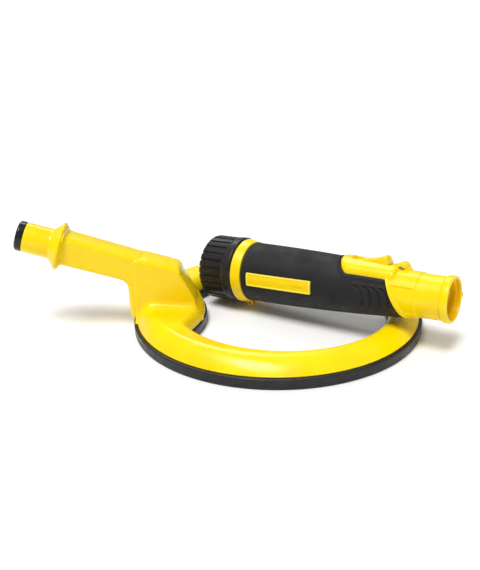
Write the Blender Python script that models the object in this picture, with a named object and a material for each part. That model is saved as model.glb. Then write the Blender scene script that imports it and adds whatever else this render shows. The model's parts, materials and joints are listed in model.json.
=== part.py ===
"""Hand-held underwater metal detector, unplugged into its coil half and its handle half.

Sizes are in millimetres and become metres in add_object. The coil half lies flat with the ring's
centre on the coil frame's origin and its arm towards -X. The handle half has a frame of its own:
X along its round body from the collar to the socket's mouth, Z towards the thumb slider.
"""
import math

import bmesh
import bpy
from mathutils import Matrix, Vector

MM = 0.001
GAP = 0.3

# Coil: an outer circle, an opening that sits off centre, and a pad bulging into the opening.
COIL_RADIUS = 100.0
BASE_HEIGHT = 7.0
SHELL_INSET = 2.4
SHELL_WALL = 2.2
RAY_ORIGIN = (8.0, 0.0)
OPENING_CENTRE = (4.4, -1.1)
OPENING_RADIUS = 71.6
PAD_CENTRE = (-116.0, 3.0)
PAD_RADIUS = 66.6
CORNER_BLEND = 9.0
CREST_HEIGHT = 14.2
CREST_RISE = 4.6
OUTER_SLOPE = 18.0
OUTER_SLOPE_AT_ARM = 11.0
SHOULDER = 6.6
PAD_FALL = 0.28
COIL_STEPS = 64
SECTION_STEPS = 11

# Arm: leaves the ring along -X and rises.
ARM_SLOPE = math.radians(17.5)
ARM_HALF_WIDTH = 10.5
FLANGE_CENTRE = (-145.4, 0.0, 58.7)
FLANGE_RADIUS = 16.6
FLANGE_THICKNESS = 3.0
CONE_LENGTH = 4.4
SPIGOT_RADIUS = 10.3
SPIGOT_LENGTH = 26.0
SPIGOT_BORE = 6.5
PLUG_LENGTH = 4.8
HOUSING_HALF_WIDTH = 12.0
HOUSING_WALL = 2.4
LEAD_RADIUS = 2.0

# Handle: pose of its frame, then stations along its axis.
HANDLE_START = (-20.3, 28.9, 27.0)
HANDLE_DIRECTION = (0.8323, -0.5512, 0.0612)
HANDLE_ROLL = math.radians(10.0)
NUT_START = -28.3
NUT_RADIUS = 23.05
NUT_GROOVE = 1.0
LIP_START = -7.2
LIP_RADIUS = 23.5
RIB_COUNT = 26
COLLAR_END = 7.4
GRIP_START_RADIUS = 20.9
GRIP_TAPER = 0.0245
GRIP_CURVE = 0.000132
GRIP_END = 116.0
GRIP_STATIONS = (COLLAR_END, 35.0, 62.0, 89.0, GRIP_END)
GRIP_THICKNESS = 2.7
TUBE_START = -15.0
MOUTH = 154.5
SOCKET_BORE = 10.8
MOUTH_BORE = 12.9
PLATE_STATIONS = (12.9, 62.7)
PLATE_TURN = math.radians(4.5)
POD_START = 77.6
POD_HALF_WIDTH = 15.2
POD_END_HALF_WIDTH = 13.4
POD_RISE = 1.6
SLIDER_WIDTH = 9.6
SLIDER_START = 92.4
TRACK_HEIGHT = 17.4
BOSS_STATION = 120.9
BOSS_HEIGHT = 15.8
BOSS_RADIUS = 4.5

YELLOW = ("yellow_abs", (0.95, 0.67, 0.0), 0.32, 0.0)
BLACK_POTTING = ("black_potting", (0.018, 0.018, 0.02), 0.38, 0.0)
BLACK_RUBBER = ("black_rubber", (0.02, 0.02, 0.022), 0.62, 0.0)
BLACK_NYLON = ("black_nylon", (0.022, 0.022, 0.024), 0.42, 0.0)
COPPER = ("copper_wire", (0.72, 0.30, 0.14), 0.35, 1.0)
GOLD = ("gold_contact", (0.83, 0.62, 0.25), 0.25, 1.0)
STEEL = ("stainless_steel", (0.55, 0.55, 0.56), 0.3, 1.0)
BOARD_GREEN = ("board_laminate", (0.02, 0.16, 0.06), 0.5, 0.0)
CELL_WRAP = ("cell_wrap", (0.05, 0.12, 0.42), 0.45, 0.0)
SEAL_RUBBER = ("seal_rubber", (0.03, 0.03, 0.03), 0.7, 0.0)


def remove_everything():
    """Empty the file without closing it."""
    for item in list(bpy.data.objects):
        bpy.data.objects.remove(item, do_unlink=True)


def finish_material(finish):
    """Principled material from (name, colour, roughness, metallic), made once."""
    name, colour, roughness, metallic = finish
    found = bpy.data.materials.get(name)
    if found:
        return found
    material = bpy.data.materials.new(name)
    material.use_nodes = True
    shader = material.node_tree.nodes["Principled BSDF"]
    shader.inputs["Base Color"].default_value = (*colour, 1.0)
    shader.inputs["Roughness"].default_value = roughness
    shader.inputs["Metallic"].default_value = metallic
    return material


def add_empty(name, matrix, parent=None):
    """Empty that carries a frame; matrix is relative to the parent and in millimetres."""
    empty = bpy.data.objects.new(name, None)
    bpy.context.collection.objects.link(empty)
    placed = matrix.copy()
    placed.translation = matrix.translation * MM
    empty.parent = parent
    empty.matrix_local = placed
    return empty


def add_object(name, bm, finish, parent, location=(0.0, 0.0, 0.0), matrix=None):
    """Object from a bmesh drawn in millimetres about its own origin."""
    bmesh.ops.remove_doubles(bm, verts=bm.verts[:], dist=1e-4)
    bmesh.ops.recalc_face_normals(bm, faces=bm.faces[:])
    bm.transform(Matrix.Scale(MM, 4))
    mesh = bpy.data.meshes.new(name)
    bm.to_mesh(mesh)
    bm.free()
    mesh.shade_smooth()
    mesh.set_sharp_from_angle(angle=math.radians(35.0))
    item = bpy.data.objects.new(name, mesh)
    bpy.context.collection.objects.link(item)
    if finish:
        mesh.materials.append(finish_material(finish))
    item.parent = parent
    place = matrix.copy() if matrix else Matrix.Translation(location)
    place.translation = place.translation * MM
    item.matrix_local = place
    return item


def as_cutter(item):
    """Mark an object as a tool that only shapes others."""
    item.hide_render = True
    item.display_type = "WIRE"
    return item


def boolean(item, tool, operation="DIFFERENCE", solver="EXACT"):
    """Boolean of item with a tool that stays a wire guide."""
    as_cutter(tool)
    modifier = item.modifiers.new(operation.lower(), "BOOLEAN")
    modifier.operation = operation
    modifier.solver = solver
    modifier.object = tool


def soften(item, width, segments=2):
    """Rounded edges of the given width in millimetres."""
    modifier = item.modifiers.new("rounding", "BEVEL")
    modifier.width = width * MM
    modifier.segments = segments
    modifier.limit_method = "ANGLE"
    modifier.angle_limit = math.radians(40.0)


def turned(name, outline, finish, parent, steps=32, matrix=None):
    """Outline of (station, radius) points turned about the X axis; ends on the axis close it."""
    bm = bmesh.new()
    points = [bm.verts.new((station, 0.0, radius)) for station, radius in outline]
    for first, second in zip(points, points[1:]):
        bm.edges.new((first, second))
    if outline[0][1] > 0.0:
        bm.edges.new((points[-1], points[0]))
    bmesh.ops.spin(bm, geom=bm.verts[:] + bm.edges[:], cent=(0, 0, 0), axis=(1, 0, 0),
                   angle=math.tau, steps=steps, use_merge=True)
    return add_object(name, bm, finish, parent, matrix=matrix)


def rod(name, start, end, radius, finish, parent, steps=16, matrix=None):
    """Plain cylinder along the X axis."""
    return turned(name, [(start, 0.0), (start, radius), (end, radius), (end, 0.0)],
                  finish, parent, steps, matrix)


def ring(name, centre, radius, thickness, finish, parent, steps=24):
    """Seal ring of round section about the X axis."""
    outline = []
    for i in range(6):
        turn = math.tau * i / 6
        outline.append((centre + thickness * math.cos(turn), radius + thickness * math.sin(turn)))
    return turned(name, outline, finish, parent, steps)


def looped(name, loops, finish, parent):
    """Closed loops of points joined in order, the last to the first."""
    bm = bmesh.new()
    rows = [[bm.verts.new(point) for point in loop] for loop in loops]
    for row, after in zip(rows, rows[1:] + rows[:1]):
        for i, point in enumerate(row):
            j = (i + 1) % len(row)
            bm.faces.new((point, row[j], after[j], after[i]))
    return add_object(name, bm, finish, parent)


def prism(name, outline, start, end, finish, parent, upright=False, matrix=None):
    """Outline extruded along Y (points are x, z), or along Z when upright (points are x, y)."""
    bm = bmesh.new()
    if upright:
        points = [bm.verts.new((x, y, start)) for x, y in outline]
        travel = (0.0, 0.0, end - start)
    else:
        points = [bm.verts.new((x, start, z)) for x, z in outline]
        travel = (0.0, end - start, 0.0)
    face = bm.faces.new(points)
    grown = bmesh.ops.extrude_face_region(bm, geom=[face])["geom"]
    moved = [part for part in grown if isinstance(part, bmesh.types.BMVert)]
    bmesh.ops.translate(bm, verts=moved, vec=travel)
    return add_object(name, bm, finish, parent, matrix=matrix)


def block(name, low, high, finish, parent, matrix=None):
    """Box between two corners."""
    outline = [(low[0], low[2]), (high[0], low[2]), (high[0], high[2]), (low[0], high[2])]
    return prism(name, outline, low[1], high[1], finish, parent, matrix=matrix)


def tube(name, points, radius, finish, parent):
    """Round wire along points, as a curve with filled caps."""
    curve = bpy.data.curves.new(name, "CURVE")
    curve.dimensions = "3D"
    curve.bevel_depth = radius * MM
    curve.bevel_resolution = 2
    curve.use_fill_caps = True
    spline = curve.splines.new("POLY")
    spline.points.add(len(points) - 1)
    for slot, point in zip(spline.points, points):
        slot.co = (*(Vector(point) * MM), 1.0)
    curve.materials.append(finish_material(finish))
    item = bpy.data.objects.new(name, curve)
    bpy.context.collection.objects.link(item)
    item.parent = parent
    return item


# ---------------------------------------------------------------- coil half

def reach(angle, centre, radius, near_side=False):
    """Distance from the ray origin to a circle along an angle, or None if the ray misses it."""
    way = Vector((math.cos(angle), math.sin(angle)))
    offset = Vector(RAY_ORIGIN) - Vector(centre)
    half = way.dot(offset)
    inside = half * half - offset.length_squared + radius * radius
    if inside <= 0.0:
        return None
    if not near_side:
        return -half + math.sqrt(inside)
    return -half - math.sqrt(inside) if half < 0.0 else None


def smooth_least(first, second, blend):
    """Smaller of two lengths, with the corner between them rounded."""
    close = max(blend - abs(first - second), 0.0) / blend
    return min(first, second) - close * close * blend / 4.0


def opening_reach(angle, inset):
    """Distance to the opening's edge, inset millimetres back from the base's own edge."""
    edge = reach(angle, OPENING_CENTRE, OPENING_RADIUS + inset)
    pad = reach(angle, PAD_CENTRE, PAD_RADIUS - inset, near_side=True)
    if pad is None:
        return edge
    return smooth_least(edge, pad, CORNER_BLEND)


def ray_point(angle, distance, height):
    """Point at a distance along a ray of the coil frame."""
    return (RAY_ORIGIN[0] + distance * math.cos(angle),
            RAY_ORIGIN[1] + distance * math.sin(angle), height)


def coil_angles():
    """Evenly spaced ray angles."""
    return [math.tau * i / COIL_STEPS for i in range(COIL_STEPS)]


def towards_arm(angle):
    """Share from 0 on the far side of the ring to 1 at the arm."""
    return (1.0 - math.cos(angle)) / 2.0


def section_height(angle, outside, width):
    """Shell height at a distance from its outer edge: an outer slope, a crest, a tight shoulder."""
    near_arm = towards_arm(angle) ** 1.5
    crest = CREST_HEIGHT + CREST_RISE * near_arm - BASE_HEIGHT - GAP
    slope = OUTER_SLOPE + (OUTER_SLOPE_AT_ARM - OUTER_SLOPE) * near_arm
    rise = 1.0 - (1.0 - min(outside / slope, 1.0)) ** 2.2
    shoulder = math.sqrt(1.0 - (1.0 - min((width - outside) / SHOULDER, 1.0)) ** 2)
    flat = min(max((outside - slope) / max(width - slope, 1.0), 0.0), 1.0)
    fall = 1.0 - PAD_FALL * near_arm * flat
    return BASE_HEIGHT + GAP + crest * min(rise, shoulder) * fall


def section_parts():
    """Places across the band, closer together at both edges."""
    return [(1.0 - math.cos(math.pi * i / SECTION_STEPS)) / 2.0 for i in range(SECTION_STEPS + 1)]


def shell_loop(part, lift, inset, floor):
    """Loop of points at one place across the band, lifted and set in from the outside."""
    loop = []
    for angle in coil_angles():
        outer = reach(angle, (0.0, 0.0), COIL_RADIUS - SHELL_INSET - inset)
        inner = opening_reach(angle, 1.2 + inset)
        width = outer - inner
        height = section_height(angle, width * part, width) + lift
        loop.append(ray_point(angle, outer - width * part, max(height, floor)))
    return loop


def make_coil_base(parent):
    """Potted base: a flat ring with chamfered upper edges."""
    rows = [(0.8, 0.0), (0.0, 0.8), (0.0, BASE_HEIGHT - 0.5), (0.5, BASE_HEIGHT)]
    loops = []
    for inset, height in rows:
        loops.append([ray_point(a, reach(a, (0.0, 0.0), COIL_RADIUS - inset), height)
                      for a in coil_angles()])
    for inset, height in reversed(rows):
        loops.append([ray_point(a, opening_reach(a, inset), height) for a in coil_angles()])
    return looped("coil_base", loops, BLACK_POTTING, parent)


def shell_loops(lift, inset, floor):
    """Loops over the shell's surface from the outer foot to the inner foot."""
    return [shell_loop(part, lift, inset, floor) for part in section_parts()]


def make_coil_shell(parent):
    """Thin moulded cover over the base, open underneath, with a hole for the lead."""
    foot = BASE_HEIGHT + GAP
    outside = shell_loops(0.0, 0.0, foot)
    inside = shell_loops(-SHELL_WALL, SHELL_WALL, foot)
    shell = looped("coil_shell", outside + inside[::-1], YELLOW, parent)
    boolean(shell, block("lead_hole", (-84, -4, 5), (-72, 4, 30), None, parent))
    return shell


def shell_cutter(name, parent):
    """Solid that fills the space under the shell and just over it, to trim what stands on it."""
    top = shell_loops(GAP, -GAP, 0.0)
    low = [[(x, y, -5.0) for x, y, _ in loop] for loop in (top[-1], top[0])]
    return looped(name, top + low, None, parent)


def make_coil_winding(parent):
    """Bundle of copper turns under the shell's crest."""
    loops = []
    for part, height in ((0.40, 7.4), (0.56, 7.4), (0.56, 9.0), (0.40, 9.0)):
        loop = []
        for angle in coil_angles():
            outer = reach(angle, (0.0, 0.0), COIL_RADIUS - SHELL_INSET)
            inner = reach(angle, OPENING_CENTRE, OPENING_RADIUS)
            loop.append(ray_point(angle, outer + (inner - outer) * part, height))
        loops.append(loop)
    return looped("coil_winding", loops, COPPER, parent)


def arc_points(centre, radius, start, end, steps):
    """Points along an arc, angles in degrees."""
    points = []
    for i in range(steps + 1):
        turn = math.radians(start + (end - start) * i / steps)
        points.append((centre[0] + radius * math.cos(turn), centre[1] + radius * math.sin(turn)))
    return points


def arm_frame():
    """Frame on the spigot's axis: X points from the flange out to the spigot's end."""
    turn = Matrix.Rotation(math.pi, 4, "Z") @ Matrix.Rotation(-ARM_SLOPE, 4, "Y")
    return Matrix.Translation(FLANGE_CENTRE) @ turn


def make_arm(parent):
    """Stem that slopes down from the flange and turns into a leg at the ring's edge."""
    bottom = [(-147.8, 49.2)]
    knee = arc_points((-109.1, 30.1), 7.0, 73.0, 4.0, 5)
    leg = [(-101.8, 10.5), (-96.4, 10.5), (-93.2, 53.0)]
    top = [(-141.6, 69.2)]
    outline = bottom + knee + leg + top
    arm = prism("arm", outline, -ARM_HALF_WIDTH, ARM_HALF_WIDTH, YELLOW, parent)
    soften(arm, 2.6)
    bore = rod("arm_bore", -70.0, 12.0, SPIGOT_BORE, None, parent, matrix=arm_frame())
    boolean(arm, bore)
    return arm


def make_neck_housing(parent):
    """Wedge-shaped cover between the arm and the shell, open underneath and towards the arm."""
    outline = [(-95.7, 10.0), (-92.9, 52.4), (-88.0, 51.6), (-76.0, 47.8), (-68.5, 44.8)]
    outline += [(-64.6, 41.6), (-56.0, 25.0), (-56.0, 10.0)]
    housing = prism("neck_housing", outline, -HOUSING_HALF_WIDTH, HOUSING_HALF_WIDTH, YELLOW, parent)
    soften(housing, 3.0)
    hollow = [(-99.0, 5.0), (-99.0, 48.2), (-88.0, 47.6), (-70.0, 41.6), (-67.0, 39.2)]
    hollow += [(-60.2, 25.0), (-60.2, 5.0)]
    inside = HOUSING_HALF_WIDTH - HOUSING_WALL
    boolean(housing, prism("housing_hollow", hollow, -inside, inside, None, parent))
    boolean(housing, shell_cutter("housing_trim", parent), solver="MANIFOLD")
    return housing


def make_spigot(parent):
    """Flange, bright cone and plug tube, turned on the spigot's axis."""
    cone = FLANGE_THICKNESS + CONE_LENGTH
    outline = [(0.4, SPIGOT_BORE), (0.4, FLANGE_RADIUS - 0.8), (1.0, FLANGE_RADIUS)]
    outline += [(2.2, FLANGE_RADIUS), (FLANGE_THICKNESS, FLANGE_RADIUS - 1.2)]
    outline += [(cone, SPIGOT_RADIUS + 0.4), (cone + 0.8, SPIGOT_RADIUS)]
    outline += [(SPIGOT_LENGTH, SPIGOT_RADIUS), (SPIGOT_LENGTH, SPIGOT_BORE)]
    spigot = turned("plug_spigot", outline, YELLOW, parent, 32, arm_frame())
    dimple = rod("spigot_dimple", SPIGOT_RADIUS - 0.9, SPIGOT_RADIUS + 2.0, 0.8, None, parent, 12,
                 arm_frame() @ Matrix.Translation((20.5, 0, 0)) @ Matrix.Rotation(-math.pi / 2, 4, "Y"))
    boolean(spigot, dimple)
    return spigot


def make_end_plug(parent):
    """Black end of the spigot, with four blind holes for its contacts."""
    start = SPIGOT_LENGTH + GAP
    end = start + PLUG_LENGTH
    stub = SPIGOT_BORE - GAP
    outline = [(start - 5.0, 0.0), (start - 5.0, stub), (start, stub), (start, SPIGOT_RADIUS)]
    outline += [(end - 0.9, SPIGOT_RADIUS), (end, SPIGOT_RADIUS - 0.9), (end, 0.0)]
    plug = turned("end_plug", outline, BLACK_NYLON, parent, 32, arm_frame())
    for i in range(4):
        turn = math.tau * i / 4 + math.pi / 4
        seat = arm_frame() @ Matrix.Translation((0, 4.6 * math.cos(turn), 4.6 * math.sin(turn)))
        boolean(plug, rod(f"contact_seat_{i + 1}", end - 2.6, end + 2.0, 1.3, None, parent, 12, seat))
        turned(f"plug_contact_{i + 1}", [(end - 2.3, 0.0), (end - 2.3, 1.0), (end - 0.2, 1.0),
                                        (end, 0.7), (end, 0.0)], GOLD, parent, 12, seat)
    return plug


def make_coil_lead(parent):
    """Lead from the end plug, down the arm and through the shell to the winding."""
    frame = arm_frame()
    points = [frame @ Vector((18.5 - 6.5 * i, 0.0, -0.2)) for i in range(10)]
    start = points[-1]
    end = Vector((-78.0, 0.0, 11.6))
    bend = start + (start - points[-2]).normalized() * 24.0
    for i in range(1, 9):
        t = i / 8
        points.append(start * (1 - t) ** 2 + bend * 2 * t * (1 - t) + end * t * t)
    return tube("coil_lead", points, LEAD_RADIUS, BLACK_RUBBER, parent)


def make_coil_half(parent):
    """Everything that stays with the search coil."""
    make_coil_base(parent)
    make_coil_shell(parent)
    make_coil_winding(parent)
    make_arm(parent)
    make_neck_housing(parent)
    make_spigot(parent)
    make_end_plug(parent)
    make_coil_lead(parent)


# -------------------------------------------------------------- handle half

def grip_radius(station):
    """Outer radius of the grip, which tapers faster towards the socket."""
    run = station - COLLAR_END
    return GRIP_START_RADIUS - GRIP_TAPER * run - GRIP_CURVE * run * run


def tube_radius(station):
    """Outer radius of the body tube under the grip."""
    return grip_radius(station) - GRIP_THICKNESS - GAP


def handle_frame():
    """Frame of the handle: X along its axis, Y to the far side, Z towards the slider."""
    along = Vector(HANDLE_DIRECTION).normalized()
    side = Vector((0, 0, 1)).cross(along).normalized()
    up = along.cross(side)
    frame = Matrix((along, side, up)).transposed().to_4x4()
    return Matrix.Translation(HANDLE_START) @ frame @ Matrix.Rotation(-HANDLE_ROLL, 4, "X")


def make_body_tube(parent):
    """Sealed tube that holds the battery and the board."""
    neck = 17.6
    outline = [(TUBE_START, 15.2), (TUBE_START, neck), (-GAP, neck)]
    outline += [(station, tube_radius(station)) for station in GRIP_STATIONS]
    outline += [(GRIP_END, 11.6), (68.0, 11.6), (66.0, 14.4), (40.0, 15.2)]
    return turned("body_tube", outline, YELLOW, parent, 32)


def make_collar(parent):
    """Yellow cone next to the nut, with the lanyard lug under it."""
    bore = grip_radius(COLLAR_END) - GRIP_THICKNESS
    outline = [(0.0, bore), (0.0, 22.5), (0.4, 22.9), (COLLAR_END - 0.6, 21.5)]
    outline += [(COLLAR_END - 0.3, 21.2), (COLLAR_END - 0.3, bore)]
    collar = turned("collar", outline, YELLOW, parent, 40)
    lug = [(1.6, -20.0), (1.6, -23.6), (2.6, -25.2), (6.0, -25.2), (7.0, -23.6), (7.0, -20.0)]
    boolean(collar, prism("lug_shape", lug, -2.4, 2.4, None, parent), "UNION")
    hole = Matrix.Translation((4.3, 0, -23.4)) @ Matrix.Rotation(math.pi / 2, 4, "Z")
    boolean(collar, rod("lug_hole", -6.0, 6.0, 0.9, None, parent, 12, hole))
    return collar


def stadium(start, end, half_width, end_half_width, steps=8):
    """Plan outline with a rounded nose at its start, narrowing to a square end."""
    nose = arc_points((0.0, 0.0), 1.0, 90.0, 270.0, steps)
    depth = half_width * 0.62
    points = [(start + depth + depth * x, half_width * y) for x, y in nose]
    return points + [(end, -end_half_width), (end, end_half_width)]


def make_grip(parent):
    """Rubber sleeve with a window for the top housing."""
    outline = [(station, grip_radius(station)) for station in GRIP_STATIONS]
    outline += [(station, grip_radius(station) - GRIP_THICKNESS) for station in GRIP_STATIONS[::-1]]
    grip = turned("grip_sleeve", outline, BLACK_RUBBER, parent, 48)
    window = stadium(POD_START - 0.4, GRIP_END + 1.0, POD_HALF_WIDTH + 0.4, POD_END_HALF_WIDTH + 0.4)
    boolean(grip, prism("grip_window", window, 2.0, 40.0, None, parent, upright=True))
    return grip


def make_name_plate(parent):
    """Plain plate on the grip's near side."""
    start, end = PLATE_STATIONS
    middle = (start + end) / 2
    tilt = Matrix.Rotation(math.atan2(grip_radius(start) - grip_radius(end), end - start), 4, "Z")
    turn = Matrix.Rotation(PLATE_TURN, 4, "X")
    matrix = turn @ Matrix.Translation((middle, -grip_radius(middle), 0.0)) @ tilt
    plate = block("name_plate", (start - middle, -1.2, -4.6), (end - middle, -0.4, 4.6), YELLOW, parent,
                  matrix)
    soften(plate, 0.4, 1)
    return plate


def pod_blank(name, parent, finish):
    """Turned blank of the top housing, before its plan is cut."""
    rises = ((-2.0, -0.4), (1.5, 0.3), (6.0, 1.1), (12.0, POD_RISE), (26.0, POD_RISE))
    outline = [(POD_START + run, grip_radius(POD_START + run) + rise) for run, rise in rises]
    outline.append((GRIP_END, grip_radius(GRIP_END) + POD_RISE))
    for station in (GRIP_END, 100.0, POD_START - 2.0):
        outline.append((station, grip_radius(station) - GRIP_THICKNESS))
    return turned(name, outline, finish, parent, 48)


def make_top_housing(parent):
    """Raised yellow housing on the grip, with a flat track for the slider."""
    housing = pod_blank("top_housing", parent, YELLOW)
    plan = stadium(POD_START, GRIP_END + 1.0, POD_HALF_WIDTH, POD_END_HALF_WIDTH)
    boolean(housing, prism("pod_plan", plan, 4.0, 40.0, None, parent, upright=True), "INTERSECT")
    half = SLIDER_WIDTH / 2 + GAP
    boolean(housing, block("slider_track", (86.0, -half, TRACK_HEIGHT), (125.0, half, 30.0), None, parent))
    return housing


def make_slider(parent):
    """Ramp-shaped thumb slider with its magnet, on a frame at its rest place."""
    profile = [(0.0, 0.0), (0.0, 1.8), (9.0, 3.0), (13.4, 5.0), (15.4, 5.5), (16.6, 5.0)]
    profile += [(18.4, 1.6), (18.4, 0.0)]
    half = SLIDER_WIDTH / 2
    slider = prism("thumb_slider", profile, -half, half, YELLOW, parent)
    soften(slider, 0.5, 1)
    boolean(slider, block("magnet_pocket", (10.7, -2.3, -2.0), (15.3, 2.3, 2.4), None, parent))
    magnet = block("slider_magnet", (11.0, -2.0, 0.1), (15.0, 2.0, 2.0), STEEL, parent)
    soften(magnet, 0.3, 1)


def make_barrel(parent):
    """Socket moulding: steps outside, plug bore inside, boss and gusset on top."""
    step = 133.0
    outside = [(GRIP_END + GAP, 11.3), (GRIP_END + GAP, 15.4), (117.0, 15.9), (step, 15.0)]
    outside += [(step + 0.6, 14.5), (149.2, 14.3), (150.2, 15.3), (153.2, 15.4), (MOUTH, 14.9)]
    inside = [(MOUTH, 13.4), (MOUTH - 0.6, MOUTH_BORE), (147.4, MOUTH_BORE), (146.8, SOCKET_BORE)]
    inside += [(118.0, SOCKET_BORE), (118.0, 6.0), (108.0, 6.0), (108.0, 11.3)]
    barrel = turned("barrel", outside + inside, YELLOW, parent, 40)
    crosswise = Matrix.Translation((BOSS_STATION, 0, BOSS_HEIGHT)) @ Matrix.Rotation(math.pi / 2, 4, "Z")
    boss = rod("boss_shape", -5.4, 5.4, BOSS_RADIUS, None, parent, 24, crosswise)
    boolean(barrel, boss, "UNION")
    gusset = [(BOSS_STATION + 1.0, 13.0), (BOSS_STATION + 2.4, 19.0), (BOSS_STATION + 6.6, 15.0)]
    gusset += [(BOSS_STATION + 6.6, 13.0)]
    boolean(barrel, prism("gusset_shape", gusset, -3.8, 3.8, None, parent), "UNION")
    boolean(barrel, rod("boss_hole", -9.0, 9.0, 1.6, None, parent, 16, crosswise))
    turned("cross_pin", [(-5.0, 0.0), (-5.0, 1.1), (-4.8, 1.3), (4.8, 1.3), (5.0, 1.1), (5.0, 0.0)],
           STEEL, parent, 16, crosswise)
    button_seat = button_frame()
    boolean(barrel, rod("button_hole", 11.0, 20.0, 1.9, None, parent, 16, button_seat))
    return barrel


def button_frame():
    """Frame of the lock button: its X axis points out of the barrel's far side."""
    return Matrix.Translation((151.6, 0, 0)) @ Matrix.Rotation(math.pi / 2, 4, "Z")


def make_lock_button(parent):
    """Sprung pin through the socket's rim."""
    profile = [(13.2, 0.0), (13.2, 1.5), (16.6, 1.5), (17.1, 1.0), (17.1, 0.0)]
    turned("lock_button", profile, YELLOW, parent, 16)


def make_contact_block(parent):
    """Insulating disc at the bottom of the socket with four contacts in it."""
    disc = rod("contact_block", 118.0 + GAP, 123.3, SOCKET_BORE - GAP, BLACK_NYLON, parent, 32)
    for i in range(4):
        turn = math.tau * i / 4 + math.pi / 4
        seat = Matrix.Translation((0, 4.6 * math.cos(turn), 4.6 * math.sin(turn)))
        boolean(disc, rod(f"pin_seat_{i + 1}", 119.8, 126.0, 1.2, None, parent, 12, seat))
        rod(f"socket_contact_{i + 1}", 120.1, 124.4, 0.9, GOLD, parent, 12, seat)


def make_electronics(parent):
    """Battery, its cradle rings, the board and what sits on it."""
    cell = [(0.0, 0.0), (0.0, 3.6), (1.2, 3.6), (1.2, 8.6), (1.8, 9.2), (65.0, 9.2), (65.0, 0.0)]
    turned("battery_cell", cell, CELL_WRAP, parent, 28)
    for i, station in enumerate((8.0, 54.0)):
        outline = [(station, 9.5), (station, 14.1), (station + 3.0, 14.1), (station + 3.0, 9.5)]
        turned(f"cradle_ring_{i + 1}", outline, BLACK_NYLON, parent, 28)
    block("circuit_board", (69.0, -10.2, -3.6), (107.4, 10.2, -2.0), BOARD_GREEN, parent)
    raised = Matrix.Translation((0, 5.0, 2.2))
    rod("vibration_motor", 72.0, 83.0, 3.6, STEEL, parent, 20, raised)
    upright = Matrix.Translation((93.0, -3.0, 0)) @ Matrix.Rotation(-math.pi / 2, 4, "Y")
    rod("buzzer", -2.0 + GAP, 3.0, 5.6, BLACK_NYLON, parent, 24, upright)
    rod("reed_sensor", 97.0, 110.0 - 3.0, 1.1, GOLD, parent, 12, Matrix.Translation((0, 0, 9.8)))
    points = [(107.0, 0.0, 1.0), (109.0, 0.0, 1.6), (111.0, 0.0, 1.6), (113.5, 0.0, 0.8), (118.0, 0.0, 0.0)]
    tube("signal_lead", points, 1.4, BLACK_RUBBER, parent)


def make_socket_seal(parent):
    """Ring in the socket's bore."""
    ring("socket_seal", 144.6, SOCKET_BORE - 1.0, 0.7, SEAL_RUBBER, parent)


def make_battery_cap(parent):
    """Cap that the nut carries, with its seal and the battery's contact spring."""
    outline = [(-27.4, 0.0), (-27.4, 12.2), (-26.8, 12.8), (-20.0, 12.8), (-20.0, 17.2)]
    outline.append((TUBE_START - GAP, 17.2))
    outline += [(TUBE_START - GAP, 14.8), (-13.3, 14.8), (-13.3, 13.0), (-10.7, 13.0), (-10.7, 14.8)]
    outline += [(-8.5, 14.8), (-8.5, 0.0)]
    turned("battery_cap", outline, BLACK_NYLON, parent, 24)
    ring("cap_seal", -12.0, 14.15, 0.8, SEAL_RUBBER, parent)
    points = []
    for i in range(41):
        share = i / 40
        turn = math.tau * 4 * share
        radius = 6.6 - 3.0 * share
        points.append((-7.7 + 6.9 * share, radius * math.cos(turn), radius * math.sin(turn)))
    tube("battery_spring", points, 0.4, STEEL, parent)


def nut_loop(station, radius, ribbed):
    """Loop of the nut at one station; ribbed loops drop into narrow grooves between flat ribs."""
    loop = []
    for i in range(RIB_COUNT):
        for part, drop in ((0.0, 0.0), (0.62, 0.0), (0.72, 1.0), (0.90, 1.0)):
            turn = math.tau * (i + part) / RIB_COUNT
            reach_out = radius - NUT_GROOVE * drop * ribbed
            loop.append((station, reach_out * math.cos(turn), reach_out * math.sin(turn)))
    return loop


def make_end_nut(parent):
    """Ribbed nut with a smooth lip, open at its left face."""
    stations = [(NUT_START, 13.5, 0), (NUT_START, 20.6, 0), (NUT_START + 1.6, NUT_RADIUS - 0.5, 1)]
    stations += [(NUT_START + 2.6, NUT_RADIUS, 1), (LIP_START - 1.0, NUT_RADIUS, 1)]
    stations += [(LIP_START, NUT_RADIUS, 0), (LIP_START + 1.0, LIP_RADIUS, 0)]
    stations += [(-1.8, LIP_RADIUS, 0), (-0.6, LIP_RADIUS - 1.0, 0), (-0.6, 18.0, 0)]
    stations += [(-20.0 - GAP, 18.0, 0), (-20.0 - GAP, 13.5, 0)]
    loops = [nut_loop(*values) for values in stations]
    return looped("end_nut", loops, BLACK_NYLON, parent)


def make_handle_half(parent):
    """Everything that stays with the handle, and the frames of what moves on it."""
    make_body_tube(parent)
    make_collar(parent)
    make_grip(parent)
    make_name_plate(parent)
    make_top_housing(parent)
    make_barrel(parent)
    make_contact_block(parent)
    make_electronics(parent)
    make_socket_seal(parent)
    make_battery_cap(parent)
    make_end_nut(parent)
    make_slider(add_empty("slider_frame", Matrix.Translation((SLIDER_START, 0, TRACK_HEIGHT + GAP)), parent))
    make_lock_button(add_empty("lock_button_frame", button_frame(), parent))


def stand_on_origin(root):
    """Move the root so that the bottom centre of the whole object's box is the origin."""
    graph = bpy.context.evaluated_depsgraph_get()
    corners = []
    for item in bpy.data.objects:
        if item.type == "EMPTY" or item.hide_render:
            continue
        mesh = item.evaluated_get(graph).to_mesh()
        corners += [item.matrix_world @ vertex.co for vertex in mesh.vertices]
        item.evaluated_get(graph).to_mesh_clear()
    low = [min(corner[axis] for corner in corners) for axis in range(3)]
    high = [max(corner[axis] for corner in corners) for axis in range(3)]
    root.location = (-(low[0] + high[0]) / 2, -(low[1] + high[1]) / 2, -low[2])


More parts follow.
